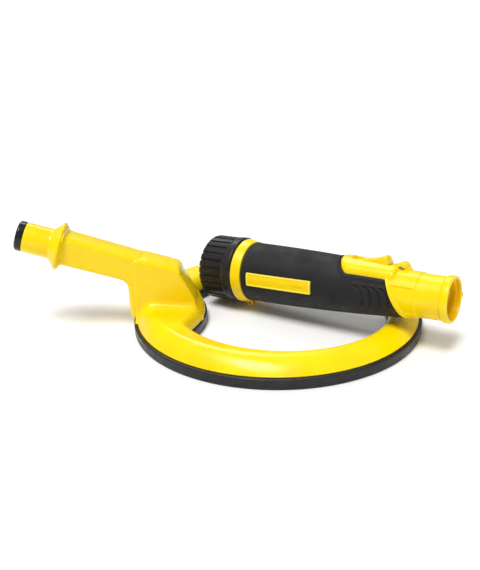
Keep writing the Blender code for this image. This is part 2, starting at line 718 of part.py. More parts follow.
def main():
    """Build both halves under one root."""
    remove_everything()
    root = add_empty("detector", Matrix.Identity(4))
    make_coil_half(root)
    make_handle_half(add_empty("handle_frame", handle_frame(), root))
    stand_on_origin(root)


main()
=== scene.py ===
"""Looks of a hand-held underwater metal detector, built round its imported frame.

Outlines are in millimetres. The coil half is drawn about the ring's centre, with its arm towards -X.
The handle half is drawn in its own frame: X along its round body from the collar to the socket's
mouth, Y to the far side, Z towards the thumb slider. Turned pieces measure their angle from the
near side (-Y) up towards +Z. Every grid is worked out as whole arrays.
"""

import json
import math

import bmesh
import bpy
import numpy as np
from mathutils import Matrix, Vector


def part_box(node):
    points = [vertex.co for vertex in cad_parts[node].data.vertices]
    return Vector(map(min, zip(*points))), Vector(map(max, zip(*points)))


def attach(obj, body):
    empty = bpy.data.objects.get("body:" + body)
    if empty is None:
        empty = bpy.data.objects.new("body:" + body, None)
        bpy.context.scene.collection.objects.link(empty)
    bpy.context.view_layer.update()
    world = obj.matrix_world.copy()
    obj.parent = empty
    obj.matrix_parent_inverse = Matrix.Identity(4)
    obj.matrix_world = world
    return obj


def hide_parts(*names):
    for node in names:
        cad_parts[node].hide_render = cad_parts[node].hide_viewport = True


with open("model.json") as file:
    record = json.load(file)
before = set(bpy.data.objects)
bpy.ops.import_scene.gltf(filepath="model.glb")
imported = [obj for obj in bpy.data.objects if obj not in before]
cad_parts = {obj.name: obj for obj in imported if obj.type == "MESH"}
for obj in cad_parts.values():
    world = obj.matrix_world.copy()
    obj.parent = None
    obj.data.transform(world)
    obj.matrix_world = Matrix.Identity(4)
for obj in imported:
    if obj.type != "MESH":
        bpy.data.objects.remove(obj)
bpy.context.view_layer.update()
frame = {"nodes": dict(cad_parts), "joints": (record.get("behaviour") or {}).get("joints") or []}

MM = 0.001
GAP = 0.3

# Coil half.
COIL_RADIUS = 100.0
BASE_HEIGHT = 7.0
SHELL_INSET = 2.4
SHELL_WALL = 2.2
FOOT_HEIGHT = BASE_HEIGHT + GAP
FOOT_LIP = 0.5
RAY_ORIGIN = (8.0, 0.0)
OPENING_CENTRE = (4.4, -1.1)
OPENING_RADIUS = 71.6
PAD_CENTRE = (-116.0, 3.0)
PAD_RADIUS = 66.6
CORNER_BLEND = 9.0
CREST_HEIGHT = 14.2
CREST_RISE = 4.6
OUTER_SLOPE = 18.0
OUTER_SLOPE_AT_ARM = 11.0
SHOULDER = 6.6
PAD_FALL = 0.28
ARM_SLOPE = math.radians(17.5)
ARM_HALF_WIDTH = 10.5
ARM_CROWN = 1.7
ARM_EDGE = 3.0
ARM_BURIED = 1.5
ARM_FILLET = 2.6
STEM_LENGTH = 44.1
KNEE_CENTRE = (-109.1, 30.1)
KNEE_RADIUS = 7.0
FLANGE_CENTRE = (-145.4, 0.0, 58.7)
SPIGOT_RADIUS = 10.3
SPIGOT_BORE = 6.5
SPIGOT_LENGTH = 26.0
DIMPLE_STATION = 20.5
CONTACT_CIRCLE = 4.6
HOUSING_HALF_WIDTH = 12.0
HOUSING_LEFT = -97.6
HOUSING_FLARE = 5.0
HOUSING_RIM = 2.6

# Handle half.
HANDLE_ROLL = math.radians(10.0)
NUT_START = -28.3
NUT_RADIUS = 23.05
NUT_GROOVE = 1.0
LIP_START = -7.2
LIP_RADIUS = 23.5
RIB_COUNT = 26
COLLAR_END = 7.4
GRIP_START_RADIUS = 20.9
GRIP_TAPER = 0.004
GRIP_CURVE = 0.00032
GRIP_CUT = 117.0
GRIP_CUT_SLANT = 7.3
PLATE_STATIONS = (12.9, 62.7)
PLATE_HALF_HEIGHT = 4.6
PLATE_TURN = math.radians(4.5)
GROOVE_START = 93.6
GROOVE_PITCH = 5.75
GROOVE_HOOK = 5.8
GROOVE_TOP = 13.0
POD_START = 77.6
POD_END = 119.4
POD_HALF_WIDTH = 14.5
POD_END_HALF_WIDTH = 12.7
POD_NOSE = POD_HALF_WIDTH * 0.62
POD_RISE = 1.6
TRACK_START = 86.0
TRACK_HEIGHT = 17.4
SLIDER_START = 92.4
SLIDER_WIDTH = 9.6
BOSS_STATION = 119.4
BOSS_HEIGHT = 15.8
BOSS_RADIUS = 4.5
BOSS_HALF_WIDTH = 4.2
LUG_CENTRE = (4.3, -23.4)
LUG_HALF_WIDTH = 2.4
STEP_STATION = 133.0
MOUTH = 154.5
BUTTON_STATION = 151.6

# Finishes and studio.
DEEP_YELLOW = (0.955, 0.655, 0.0)
BRIGHT_YELLOW = (0.985, 0.735, 0.0)
# Deeper orange laid inside the socket's bore as painted shade.
BORE_PAINTED_SHADE = (1.0, 0.6, 0.0)
CREASE_ANGLE = math.radians(38.0)
ROOM_GLOW = 0.34
CAMERA_PLACE = (-25.6, -514.1, 238.5)
CAMERA_TILT = math.radians(22.34)
CAMERA_ROLL = math.radians(-1.51)


# ------------------------------------------------------------------ numbers

def ease(low, high, value):
    """Rises from 0 at low to 1 at high as 3t^2 - 2t^3."""
    t = np.clip((value - low) / (high - low), 0.0, 1.0)
    return t * t * (3.0 - 2.0 * t)


def bell(value, centre, width):
    """1 at the centre, falling as exp(-((value - centre) / width)^2)."""
    return np.exp(-((value - centre) / width) ** 2)


def rounded(points, radii, steps=7):
    """Outline whose inner corners become curves.

    Each curve is the quadratic with its ends a radius before and after the corner, and the corner
    as its control point. A radius is cut to just under half of the shorter run beside it.
    """
    points = np.array(points, float)
    before, corner, after = points[:-2], points[1:-1], points[2:]
    run_in = np.linalg.norm(before - corner, axis=1)
    run_out = np.linalg.norm(after - corner, axis=1)
    size = np.minimum(np.broadcast_to(radii, run_in.shape), 0.49 * np.minimum(run_in, run_out))
    start = corner + (before - corner) * (size / run_in)[:, None]
    end = corner + (after - corner) * (size / run_out)[:, None]
    t = np.linspace(0.0, 1.0, steps)[None, :, None]
    curves = start[:, None] * (1 - t) ** 2 + corner[:, None] * 2 * t * (1 - t) + end[:, None] * t * t
    return np.concatenate((points[:1], curves.reshape(-1, 2), points[-1:]))


def spread(outline, gap):
    """Outline with extra points, so that no two neighbours are further apart than the gap."""
    lengths = np.concatenate(([0.0], np.cumsum(np.linalg.norm(np.diff(outline, axis=0), axis=1))))
    wanted = np.unique(np.concatenate((lengths, np.arange(0.0, lengths[-1], gap))))
    return np.stack([np.interp(wanted, lengths, outline[:, k]) for k in range(2)], axis=1)


def as_column(*parts):
    """Parts joined end to end into one column, a value for each row of a grid."""
    return np.concatenate(parts)[:, None]


def full_turn(steps):
    """Evenly spaced angles of a full turn, as a row."""
    return np.linspace(0.0, math.tau, steps, endpoint=False)[None, :]


def turned(station, radius, angle):
    """Rows of radii turned about X: (s, -r cos a, r sin a), with a = 0 on the near side."""
    station, radius, angle = np.broadcast_arrays(station, radius, angle)
    return np.stack((station, -radius * np.cos(angle), radius * np.sin(angle)), axis=-1)


def rounded_rectangle(half_x, half_y, corner, side=26, arc=8):
    """Rounded rectangle as a row of points, anticlockwise.

    Each point is a corner radius out from a place on the inner rectangle that joins the corners'
    centres: the place stands still while the normal turns, and moves while the normal stays.
    """
    signs = np.array(((1, 1), (-1, 1), (-1, -1), (1, -1), (1, 1)), float)
    quarter = np.linspace(0.0, math.pi / 2, arc)
    turn = np.concatenate([np.append(quarter + k * math.pi / 2, np.full(side, (k + 1) * math.pi / 2))
                           for k in range(4)])
    move = np.tile(np.append(np.zeros(arc), np.linspace(0.0, 1.0, side + 2)[1:-1]), 4)
    which = np.repeat(np.arange(4), arc + side)
    place = signs[which] * (1 - move)[:, None] + signs[which + 1] * move[:, None]
    x = place[:, 0] * (half_x - corner) + corner * np.cos(turn)
    y = place[:, 1] * (half_y - corner) + corner * np.sin(turn)
    return x, y


# ------------------------------------------------------------------- meshes

def grid_quads(rows, columns, wrap_rows, wrap_columns):
    """Corner numbers of the quads between neighbouring grid points, round the ends that wrap."""
    row = np.arange(rows if wrap_rows else rows - 1)[:, None]
    column = np.arange(columns if wrap_columns else columns - 1)[None, :]
    after_row = (row + 1) % rows * columns
    after_column = (column + 1) % columns
    row = row * columns
    corners = (row + column, row + after_column, after_row + after_column, after_row + column)
    return np.stack(np.broadcast_arrays(*corners), axis=-1).reshape(-1, 4)


def closed_ends(points):
    """Grid with one more row at each end, where the end row has shrunk to its mean point."""
    ends = [np.broadcast_to(row.mean(axis=0), row.shape)[None] for row in (points[0], points[-1])]
    return np.concatenate((ends[0], points, ends[1]))


def piece(name, points, place, finish, body, stands_for, wrap_rows=False, wrap_columns=True, shade=None):
    """Closed mesh of a grid of millimetre points, carried into the model's frame by a matrix.

    The matrix acts as turn x point + shift on the whole grid. Points that fall together at a pole
    are merged, and then the faces are made to point outwards.
    """
    rows, columns = points.shape[:2]
    matrix = np.array(place)
    placed = points.reshape(-1, 3) @ matrix[:3, :3].T + matrix[:3, 3]
    mesh = bpy.data.meshes.new(name)
    quads = grid_quads(rows, columns, wrap_rows, wrap_columns)
    mesh.from_pydata(placed.tolist(), [], quads.tolist())
    if shade is not None:
        layer = mesh.attributes.new("shade", "FLOAT", "POINT")
        layer.data.foreach_set("value", np.broadcast_to(shade, (rows, columns)).ravel())
    bm = bmesh.new()
    bm.from_mesh(mesh)
    bmesh.ops.remove_doubles(bm, verts=bm.verts[:], dist=2e-6)
    bmesh.ops.dissolve_degenerate(bm, edges=bm.edges[:], dist=1e-7)
    bmesh.ops.recalc_face_normals(bm, faces=bm.faces[:])
    bm.to_mesh(mesh)
    bm.free()
    mesh.shade_smooth()
    mesh.set_sharp_from_angle(angle=CREASE_ANGLE)
    mesh.materials.append(finish)
    item = bpy.data.objects.new(name, mesh)
    bpy.context.scene.collection.objects.link(item)
    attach(item, body)
    if stands_for:
        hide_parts(stands_for)
    return item


# ---------------------------------------------------------------- materials

def start_finish(name, slot, roughness, metallic=0.0):
    """New material with a Principled shader, and the record's slot noted on it."""
    material = bpy.data.materials.new(name)
    material.use_nodes = True
    material["slot"] = slot
    shader = material.node_tree.nodes["Principled BSDF"]
    shader.inputs["Roughness"].default_value = roughness
    shader.inputs["Metallic"].default_value = metallic
    return material, material.node_tree, shader


def place_noise(tree, size, detail=3.0, distortion=0.0, stretch=(1.0, 1.0, 1.0)):
    """Noise on Object coordinates whose features are about size metres across."""
    coordinates = tree.nodes.new("ShaderNodeTexCoord")
    mapping = tree.nodes.new("ShaderNodeMapping")
    mapping.inputs["Scale"].default_value = stretch
    noise = tree.nodes.new("ShaderNodeTexNoise")
    noise.inputs["Scale"].default_value = 1.0 / size
    noise.inputs["Detail"].default_value = detail
    noise.inputs["Distortion"].default_value = distortion
    tree.links.new(coordinates.outputs["Object"], mapping.inputs["Vector"])
    tree.links.new(mapping.outputs["Vector"], noise.inputs["Vector"])
    return noise.outputs["Fac"]


def place_cells(tree, size):
    """Distance to the nearest cell point of a Voronoi pattern of that cell size in metres."""
    coordinates = tree.nodes.new("ShaderNodeTexCoord")
    cells = tree.nodes.new("ShaderNodeTexVoronoi")
    cells.inputs["Scale"].default_value = 1.0 / size
    tree.links.new(coordinates.outputs["Object"], cells.inputs["Vector"])
    return cells.outputs["Distance"]


def between(tree, value, low, high, start=0.35, end=0.65):
    """Value carried from the range start..end to the range low..high."""
    node = tree.nodes.new("ShaderNodeMapRange")
    node.inputs["From Min"].default_value = start
    node.inputs["From Max"].default_value = end
    node.inputs["To Min"].default_value = low
    node.inputs["To Max"].default_value = high
    tree.links.new(value, node.inputs["Value"])
    return node.outputs["Result"]


def mixed(tree, share, first, second):
    """Two colours, or a node's colour and a colour, mixed by a share from 0 to 1."""
    node = tree.nodes.new("ShaderNodeMix")
    node.data_type = "RGBA"
    for colour, socket in ((first, node.inputs[6]), (second, node.inputs[7])):
        if isinstance(colour, tuple):
            socket.default_value = (*colour, 1.0)
        else:
            tree.links.new(colour, socket)
    tree.links.new(share, node.inputs[0])
    return node.outputs[2]


def scaled(tree, value, factor, added=None):
    """Value times a factor, plus another value if there is one."""
    node = tree.nodes.new("ShaderNodeMath")
    node.operation = "MULTIPLY_ADD"
    node.inputs[1].default_value = factor
    node.inputs[2].default_value = 0.0
    tree.links.new(value, node.inputs[0])
    if added is not None:
        tree.links.new(added, node.inputs[2])
    return node.outputs[0]


def edge_highlight_share(tree):
    """Share that is 1 on outer edges, from the surface's pointiness, where a paler colour is mixed in as a
    painted highlight.
    """
    geometry = tree.nodes.new("ShaderNodeNewGeometry")
    return between(tree, geometry.outputs["Pointiness"], 0.0, 1.0, 0.53, 0.6)


def emboss(tree, shader, height, depth):
    """Bump of the given depth in metres from a height between 0 and 1."""
    bump = tree.nodes.new("ShaderNodeBump")
    bump.inputs["Distance"].default_value = depth
    bump.inputs["Strength"].default_value = 1.0
    tree.links.new(height, bump.inputs["Height"])
    tree.links.new(bump.outputs["Normal"], shader.inputs["Normal"])


def moulded_yellow(name, deep, bright, roughness=0.25, bore=None):
    """Glossy moulded plastic: slow flow shading, a trace of dust, fine peel and paler edges as a painted
    highlight.

    A bore colour, if there is one, is painted shade: a deeper orange for the light bounced inside the bore.
    It shows where the mesh's shade attribute is 1.
    """
    material, tree, shader = start_finish(name, "yellow_abs", roughness)
    flow = between(tree, place_noise(tree, 0.035, 2.0, 0.6), 0.0, 1.0)
    colour = mixed(tree, flow, deep, bright)
    # Painted highlight: the edges are mixed towards a paler yellow.
    edge_highlight_colour = tuple(min(1.0, c * 1.08 + 0.02) for c in bright)
    colour = mixed(tree, scaled(tree, edge_highlight_share(tree), 0.5), colour, edge_highlight_colour)
    dust = between(tree, place_noise(tree, 0.0016, 4.0), 0.0, 0.05, 0.62, 0.8)
    colour = mixed(tree, dust, colour, (0.9, 0.8, 0.45))
    # Painted shade: the bore colour stands for light bounced and darkened inside the bore.
    if bore:
        layer = tree.nodes.new("ShaderNodeAttribute")
        layer.attribute_name = "shade"
        colour = mixed(tree, layer.outputs["Fac"], colour, bore)
    tree.links.new(colour, shader.inputs["Base Color"])
    smears = place_noise(tree, 0.012, 4.0, 0.4)
    tree.links.new(between(tree, smears, roughness - 0.05, roughness + 0.09), shader.inputs["Roughness"])
    peel = scaled(tree, place_noise(tree, 0.0022, 2.0), 0.8)
    emboss(tree, shader, scaled(tree, place_noise(tree, 0.00035, 2.0), 0.2, peel), 0.00003)
    shader.inputs["Specular IOR Level"].default_value = 0.34
    shader.inputs["Coat Weight"].default_value = 0.05
    shader.inputs["Coat Roughness"].default_value = 0.12
    return material


def amber_plastic():
    """Clear-looking amber nylon of the lanyard lug."""
    material, tree, shader = start_finish("amber_lug", "yellow_abs", 0.25)
    flow = between(tree, place_noise(tree, 0.003, 2.0, 1.0), 0.0, 1.0)
    tree.links.new(mixed(tree, flow, (0.62, 0.30, 0.01), (0.86, 0.50, 0.03)), shader.inputs["Base Color"])
    emboss(tree, shader, place_noise(tree, 0.0008, 2.0), 0.00003)
    shader.inputs["Subsurface Weight"].default_value = 0.25
    shader.inputs["Subsurface Scale"].default_value = 0.002
    return material


def plate_yellow():
    """Name plate: an opaque deep field inside a paler moulded border, told apart by shade."""
    material, tree, shader = start_finish("plate_enamel", "yellow_abs", 0.34)
    layer = tree.nodes.new("ShaderNodeAttribute")
    layer.attribute_name = "shade"
    flow = between(tree, place_noise(tree, 0.006, 3.0), 0.0, 1.0)
    field = mixed(tree, flow, (0.955, 0.665, 0.0), (0.975, 0.70, 0.0))
    tree.links.new(mixed(tree, layer.outputs["Fac"], field, (1.0, 0.86, 0.09)), shader.inputs["Base Color"])
    tree.links.new(between(tree, place_noise(tree, 0.002, 4.0), 0.28, 0.36), shader.inputs["Roughness"])
    shader.inputs["Specular IOR Level"].default_value = 0.3
    emboss(tree, shader, place_noise(tree, 0.0005, 2.0), 0.000025)
    return material


def grip_rubber():
    """Matt rubber: a fine moulded stipple, faint grey bloom and paler edges as a painted highlight."""
    material, tree, shader = start_finish("grip_rubber", "black_rubber", 0.58)
    bloom = between(tree, place_noise(tree, 0.02, 5.0, 0.5), 0.0, 1.0, 0.3, 0.7)
    colour = mixed(tree, bloom, (0.0125, 0.0125, 0.014), (0.022, 0.022, 0.025))
    # Painted highlight: the edges are mixed towards a paler grey.
    colour = mixed(tree, scaled(tree, edge_highlight_share(tree), 0.6), colour, (0.06, 0.06, 0.066))
    dust = between(tree, place_noise(tree, 0.0009, 3.0), 0.0, 0.35, 0.64, 0.8)
    tree.links.new(mixed(tree, dust, colour, (0.07, 0.07, 0.075)), shader.inputs["Base Color"])
    tree.links.new(between(tree, place_noise(tree, 0.009, 4.0), 0.5, 0.66), shader.inputs["Roughness"])
    stipple = scaled(tree, place_cells(tree, 0.00055), 0.6)
    emboss(tree, shader, scaled(tree, place_noise(tree, 0.00025, 3.0), 0.4, stipple), 0.00007)
    shader.inputs["Specular IOR Level"].default_value = 0.22
    return material


def black_plastic(name, slot, roughness, peel_size=0.0012, depth=0.00004):
    """Black moulded or cast plastic: faint mottling, paler edges as a painted highlight, smears in the
    gloss and a soft peel.
    """
    material, tree, shader = start_finish(name, slot, roughness)
    mottle = between(tree, place_noise(tree, 0.008, 5.0, 0.8), 0.0, 1.0, 0.3, 0.7)
    colour = mixed(tree, mottle, (0.011, 0.011, 0.012), (0.02, 0.02, 0.022))
    # Painted highlight: the edges are mixed towards a paler grey.
    colour = mixed(tree, scaled(tree, edge_highlight_share(tree), 0.7), colour, (0.075, 0.075, 0.08))
    scuff = between(tree, place_noise(tree, 0.004, 6.0, 1.2, (1.0, 3.0, 1.0)), 0.0, 0.3, 0.6, 0.75)
    tree.links.new(mixed(tree, scuff, colour, (0.05, 0.05, 0.052)), shader.inputs["Base Color"])
    gloss = place_noise(tree, 0.006, 5.0)
    tree.links.new(between(tree, gloss, roughness - 0.07, roughness + 0.1), shader.inputs["Roughness"])
    emboss(tree, shader, place_noise(tree, peel_size, 3.0), depth)
    shader.inputs["Specular IOR Level"].default_value = 0.3
    return material


def bare_metal(name, slot, dull, bright, roughness):
    """Metal with a fine grain, and tarnish between the dull and the bright colour."""
    material, tree, shader = start_finish(name, slot, roughness, 1.0)
    tarnish = between(tree, place_noise(tree, 0.003, 4.0), 0.0, 1.0)
    tree.links.new(mixed(tree, tarnish, dull, bright), shader.inputs["Base Color"])
    grain = place_noise(tree, 0.0004)
    tree.links.new(between(tree, grain, roughness - 0.08, roughness + 0.12), shader.inputs["Roughness"])
    emboss(tree, shader, grain, 0.00001)
    return material


def board_laminate():
    """Green board: solder mask over a glass weave, with copper showing faintly through."""
    material, tree, shader = start_finish("board_laminate_green", "board_laminate", 0.42)
    coordinates = tree.nodes.new("ShaderNodeTexCoord")
    weave = tree.nodes.new("ShaderNodeTexBrick")
    weave.inputs["Scale"].default_value = 900.0
    tree.links.new(coordinates.outputs["Object"], weave.inputs["Vector"])
    copper = between(tree, place_noise(tree, 0.0025, 1.0), 0.0, 0.5, 0.5, 0.54)
    colour = mixed(tree, copper, (0.006, 0.085, 0.026), (0.03, 0.17, 0.05))
    tree.links.new(colour, shader.inputs["Base Color"])
    emboss(tree, shader, weave.outputs["Fac"], 0.00002)
    return material


def cell_wrap():
    """Printed shrink film on the battery: two bands of colour along it and fine wrinkles."""
    material, tree, shader = start_finish("cell_wrap_film", "cell_wrap", 0.36)
    tint = between(tree, place_noise(tree, 0.02, 1.0), 0.0, 1.0, 0.47, 0.53)
    tree.links.new(mixed(tree, tint, (0.035, 0.09, 0.34), (0.06, 0.15, 0.48)), shader.inputs["Base Color"])
    emboss(tree, shader, place_noise(tree, 0.003, 4.0, 1.5), 0.00005)
    return material


YELLOW = moulded_yellow("yellow_moulding", DEEP_YELLOW, BRIGHT_YELLOW)
YELLOW_INSIDE = moulded_yellow("yellow_inside", (0.93, 0.58, 0.0), (0.96, 0.63, 0.0), 0.42)
# Socket moulding with painted shade inside its bore.
YELLOW_SOCKET = moulded_yellow("socket_moulding", DEEP_YELLOW, BRIGHT_YELLOW, bore=BORE_PAINTED_SHADE)
AMBER = amber_plastic()
PLATE = plate_yellow()
RUBBER = grip_rubber()
POTTING = black_plastic("potting_compound", "black_potting", 0.34, 0.003, 0.00006)
NYLON = black_plastic("ribbed_nylon", "black_nylon", 0.36)
NYLON_TIP = black_plastic("polished_nylon", "black_nylon", 0.2, 0.004, 0.00002)
SEAL = black_plastic("greased_seal", "seal_rubber", 0.5, 0.0006, 0.00003)
LEAD_JACKET = black_plastic("lead_jacket", "black_rubber", 0.55, 0.0008, 0.00004)
COPPER = bare_metal("enamelled_copper", "copper_wire", (0.42, 0.13, 0.05), (0.62, 0.22, 0.09), 0.34)
GOLD = bare_metal("gold_plate", "gold_contact", (0.72, 0.47, 0.14), (0.86, 0.62, 0.24), 0.24)
STEEL = bare_metal("drawn_steel", "stainless_steel", (0.4, 0.4, 0.41), (0.6, 0.6, 0.61), 0.3)
BOARD = board_laminate()
WRAP = cell_wrap()

INNER_FINISHES = {
    YELLOW_INSIDE: ("body_tube",),
    COPPER: ("coil_winding",),
    GOLD: ("plug_contact_1", "plug_contact_2", "plug_contact_3", "plug_contact_4", "socket_contact_1",
           "socket_contact_2", "socket_contact_3", "socket_contact_4", "reed_sensor"),
    STEEL: ("battery_spring", "slider_magnet", "vibration_motor"),
    NYLON: ("contact_block", "cradle_ring_1", "cradle_ring_2", "buzzer"),
    SEAL: ("cap_seal", "socket_seal"),
    LEAD_JACKET: ("coil_lead", "signal_lead"),
    BOARD: ("circuit_board",),
    WRAP: ("battery_cell",),
}


def finish_inner_nodes():
    """Give the nodes that keep their own solid a better material in every slot."""
    for finish, nodes in INNER_FINISHES.items():
        for node in nodes:
            materials = frame["nodes"][node].data.materials
            if not materials:
                materials.append(finish)
            for i in range(len(materials)):
                materials[i] = finish


# ---------------------------------------------------------------- placing

def coil_place():
    """Placing matrix of the coil half, from the middle of the potted base."""
    low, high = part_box("coil_base")
    middle = (low + high) / 2
    return Matrix.Translation((middle.x, middle.y, low.z)) @ Matrix.Scale(MM, 4)


def spigot_place():
    """Placing matrix of the spigot: X from the flange out to the plug's end."""
    turn = Matrix.Rotation(math.pi, 4, "Z") @ Matrix.Rotation(-ARM_SLOPE, 4, "Y")
    return COIL @ Matrix.Translation(FLANGE_CENTRE) @ turn


def handle_place():
    """Placing matrix of the handle half, from the axis that its nut turns on."""
    turn = next(joint for joint in frame["joints"] if joint["name"] == "nut_turn")
    along = -Vector(turn["axis"]).normalized()
    side = Vector((0, 0, 1)).cross(along).normalized()
    basis = Matrix((along, side, along.cross(side))).transposed().to_4x4()
    roll = Matrix.Rotation(-HANDLE_ROLL, 4, "X")
    return Matrix.Translation(turn["pos_m"]) @ basis @ roll @ Matrix.Scale(MM, 4)


COIL = coil_place()
SPIGOT = spigot_place()
HANDLE = handle_place()


# ---------------------------------------------------------------- coil half

def reach(angle, centre, radius, near_side=False):
    """Distance from the ray origin to a circle.

    With h the offset's part along the ray, the crossings are -h +- sqrt(h^2 - offset^2 + r^2). A
    near crossing that doesn't exist is infinite.
    """
    offset = np.array(RAY_ORIGIN) - np.array(centre)
    half = offset[0] * np.cos(angle) + offset[1] * np.sin(angle)
    inside = half * half - offset @ offset + radius * radius
    root = np.sqrt(np.maximum(inside, 0.0))
    if not near_side:
        return -half + root
    return np.where((inside > 0.0) & (half < 0.0), -half - root, np.inf)


def smooth_least(first, second, blend):
    """Smaller of two lengths a and b, less (blend - |a - b|)^2 / 4 blend where they are close."""
    close = np.maximum(blend - np.abs(first - second), 0.0)
    return np.minimum(first, second) - close * close / (4.0 * blend)


def opening_reach(angle, inset):
    """Distance to the opening's edge: its own circle or the pad's, with the corner rounded."""
    edge = reach(angle, OPENING_CENTRE, OPENING_RADIUS + inset)
    pad = reach(angle, PAD_CENTRE, PAD_RADIUS - inset, near_side=True)
    return smooth_least(edge, pad, CORNER_BLEND)


def ring_points(angle, distance, height):
    """Points at a distance along each ray: origin + d (cos a, sin a), and their height."""
    angle, distance, height = np.broadcast_arrays(angle, distance, height)
    x = RAY_ORIGIN[0] + distance * np.cos(angle)
    y = RAY_ORIGIN[1] + distance * np.sin(angle)
    return np.stack((x, y, height), axis=-1)


def section_height(angle, outside, width):
    """Shell height across the band.

    The outer slope rises as 1 - (1 - d/slope)^2.2, the inner shoulder as a quarter circle, and the
    lower of the two counts. Towards the arm the crest is higher and the band falls off inwards.
    """
    near_arm = ((1.0 - np.cos(angle)) / 2.0) ** 1.5
    crest = CREST_HEIGHT + CREST_RISE * near_arm - FOOT_HEIGHT
    slope = OUTER_SLOPE + (OUTER_SLOPE_AT_ARM - OUTER_SLOPE) * near_arm
    rise = 1.0 - (1.0 - np.clip(outside / slope, 0.0, 1.0)) ** 2.2
    from_edge = np.clip((width - outside) / SHOULDER, 0.0, 1.0)
    shoulder = np.sqrt(np.maximum(1.0 - (1.0 - from_edge) ** 2, 0.0))
    flat = np.clip((outside - slope) / np.maximum(width - slope, 1.0), 0.0, 1.0)
    return FOOT_HEIGHT + crest * np.minimum(rise, shoulder) * (1.0 - PAD_FALL * near_arm * flat)


def shell_height_at(x, y):
    """Shell height over any point of the ring, from the ray that passes through it."""
    angle = np.arctan2(y - RAY_ORIGIN[1], x - RAY_ORIGIN[0])
    distance = np.hypot(x - RAY_ORIGIN[0], y - RAY_ORIGIN[1])
    outer = reach(angle, (0.0, 0.0), COIL_RADIUS - SHELL_INSET)
    width = outer - opening_reach(angle, 1.2)
    return section_height(angle, np.clip(outer - distance, 0.0, width), width)


def shell_sheet(angle, part, inset, drop):
    """Sheet over the band: rows at shares of its width, set in and dropped for the inner skin."""
    outer = reach(angle, (0.0, 0.0), COIL_RADIUS - SHELL_INSET - inset)
    width = outer - opening_reach(angle, 1.2 + inset)
    height = section_height(angle, width * part, width) - drop
    lip = FOOT_HEIGHT + FOOT_LIP * (part > 0.0) * (part < 1.0) * (drop == 0.0)
    return ring_points(angle, outer - width * part, np.maximum(height, lip))


def make_coil_base():
    """Potted ring: its outer edge, then its opening's edge, each a rounded foot, side and rim."""
    angle = full_turn(512)
    profile = rounded([(3.4, 0.0), (0.0, 0.0), (0.0, BASE_HEIGHT), (3.4, BASE_HEIGHT)], (1.3, 0.8))
    inset, height = spread(profile, 1.2).T[:, :, None]
    outer = ring_points(angle, reach(angle, (0.0, 0.0), COIL_RADIUS - inset), height)
    opening = ring_points(angle, opening_reach(angle, inset), height)
    points = np.concatenate((outer, opening[::-1]))
    return piece("coil_base_potting", points, COIL, POTTING, "coil_half", "coil_base", wrap_rows=True)


def make_coil_shell():
    """Moulded cover: the outer sheet, then the inner sheet back to its start."""
    angle = full_turn(512)
    part = ((1.0 - np.cos(np.linspace(0.0, math.pi, 54))) / 2.0)[:, None]
    part = np.concatenate((part[:1], [[0.0004]], part[1:-1], [[0.9996]], part[-1:]))
    outside = shell_sheet(angle, part, 0.0, 0.0)
    inside = shell_sheet(angle, part[::6][::-1], SHELL_WALL, SHELL_WALL)
    points = np.concatenate((outside, inside))
    return piece("coil_shell_cover", points, COIL, YELLOW, "coil_half", "coil_shell", wrap_rows=True)


def line_distance(origin, way, point, normal):
    """Length along a ray from origin to a line: (point - origin) . normal / way . normal."""
    return ((np.array(point) - origin) @ normal) / (way @ normal)


def fillet_run():
    """Distances of the arm's first sections from its end, which is buried in the flange."""
    return np.linspace(0.0, ARM_BURIED + ARM_FILLET, 13)


def arm_stations():
    """Underside points and upward ways of the arm's sections.

    The first run slides along the stem's underside, from just inside the flange. The second turns
    about the knee's centre, and the third slides down the leg.
    """
    start, end = math.radians(73.0), math.radians(4.0)
    turn = np.linspace(start, end, 18)
    fan = np.array(KNEE_CENTRE) + KNEE_RADIUS * np.stack((np.cos(turn), np.sin(turn)), axis=1)
    along = as_column(fillet_run(), np.linspace(5.1, STEM_LENGTH - 1.0, 16)) / STEM_LENGTH
    stem = np.array((-149.2, 49.65)) * (1 - along) + fan[0] * along
    down = np.linspace(0.15, 1.0, 10)
    leg = fan[-1] * (1 - down)[:, None] + np.array((-101.8, 11.0)) * down[:, None]
    angle = np.concatenate((np.full(len(stem), start), turn, end * (1 - down)))
    return np.concatenate((stem, fan, leg)), np.stack((np.cos(angle), np.sin(angle)), axis=1)


def make_arm():
    """Stem, knee and leg: a rounded rectangle carried from its underside to its crowned top.

    Each section stands between an underside point and the top or right line, whichever is nearer.
    It grows in a quarter-circle fillet at the flange, and shrinks in one at the leg's foot.
    """
    under, way = arm_stations()
    top = line_distance(under, way, (-141.6, 69.2), np.array((16.2, 48.4)))
    right = line_distance(under, way, (-89.4, 53.0), np.array((42.5, -3.2)))
    height = smooth_least(top, right, 4.0)
    left = ARM_FILLET - np.maximum(fillet_run() - ARM_BURIED, 0.0)
    fillet = ARM_FILLET - np.sqrt(ARM_FILLET ** 2 - left ** 2)
    foot = np.linspace(0.0, math.pi / 2, 9)[1:]
    under = np.concatenate((under, under[-1] - np.stack((0 * foot, 3.0 * np.sin(foot)), axis=1)))
    way = np.concatenate((way, np.repeat(way[-1:], len(foot), axis=0)))
    height = np.concatenate((height, np.repeat(height[-1:], len(foot))))
    even = np.zeros(len(height) - len(fillet) - len(foot))
    grown = as_column(fillet, even, -1.8 * (1 - np.cos(foot)))
    half_height = height[:, None] / 2
    y, v = rounded_rectangle(ARM_HALF_WIDTH + grown, half_height + grown, ARM_EDGE, side=14)
    crown = ARM_CROWN * (y / ARM_HALF_WIDTH) ** 2 * np.clip(v / half_height, 0.0, 1.0) ** 2
    rise = half_height + v - crown
    points = np.stack((under[:, :1] + way[:, :1] * rise, y, under[:, 1:] + way[:, 1:] * rise), axis=-1)
    return piece("coil_arm", closed_ends(points), COIL, YELLOW, "coil_half", "arm")


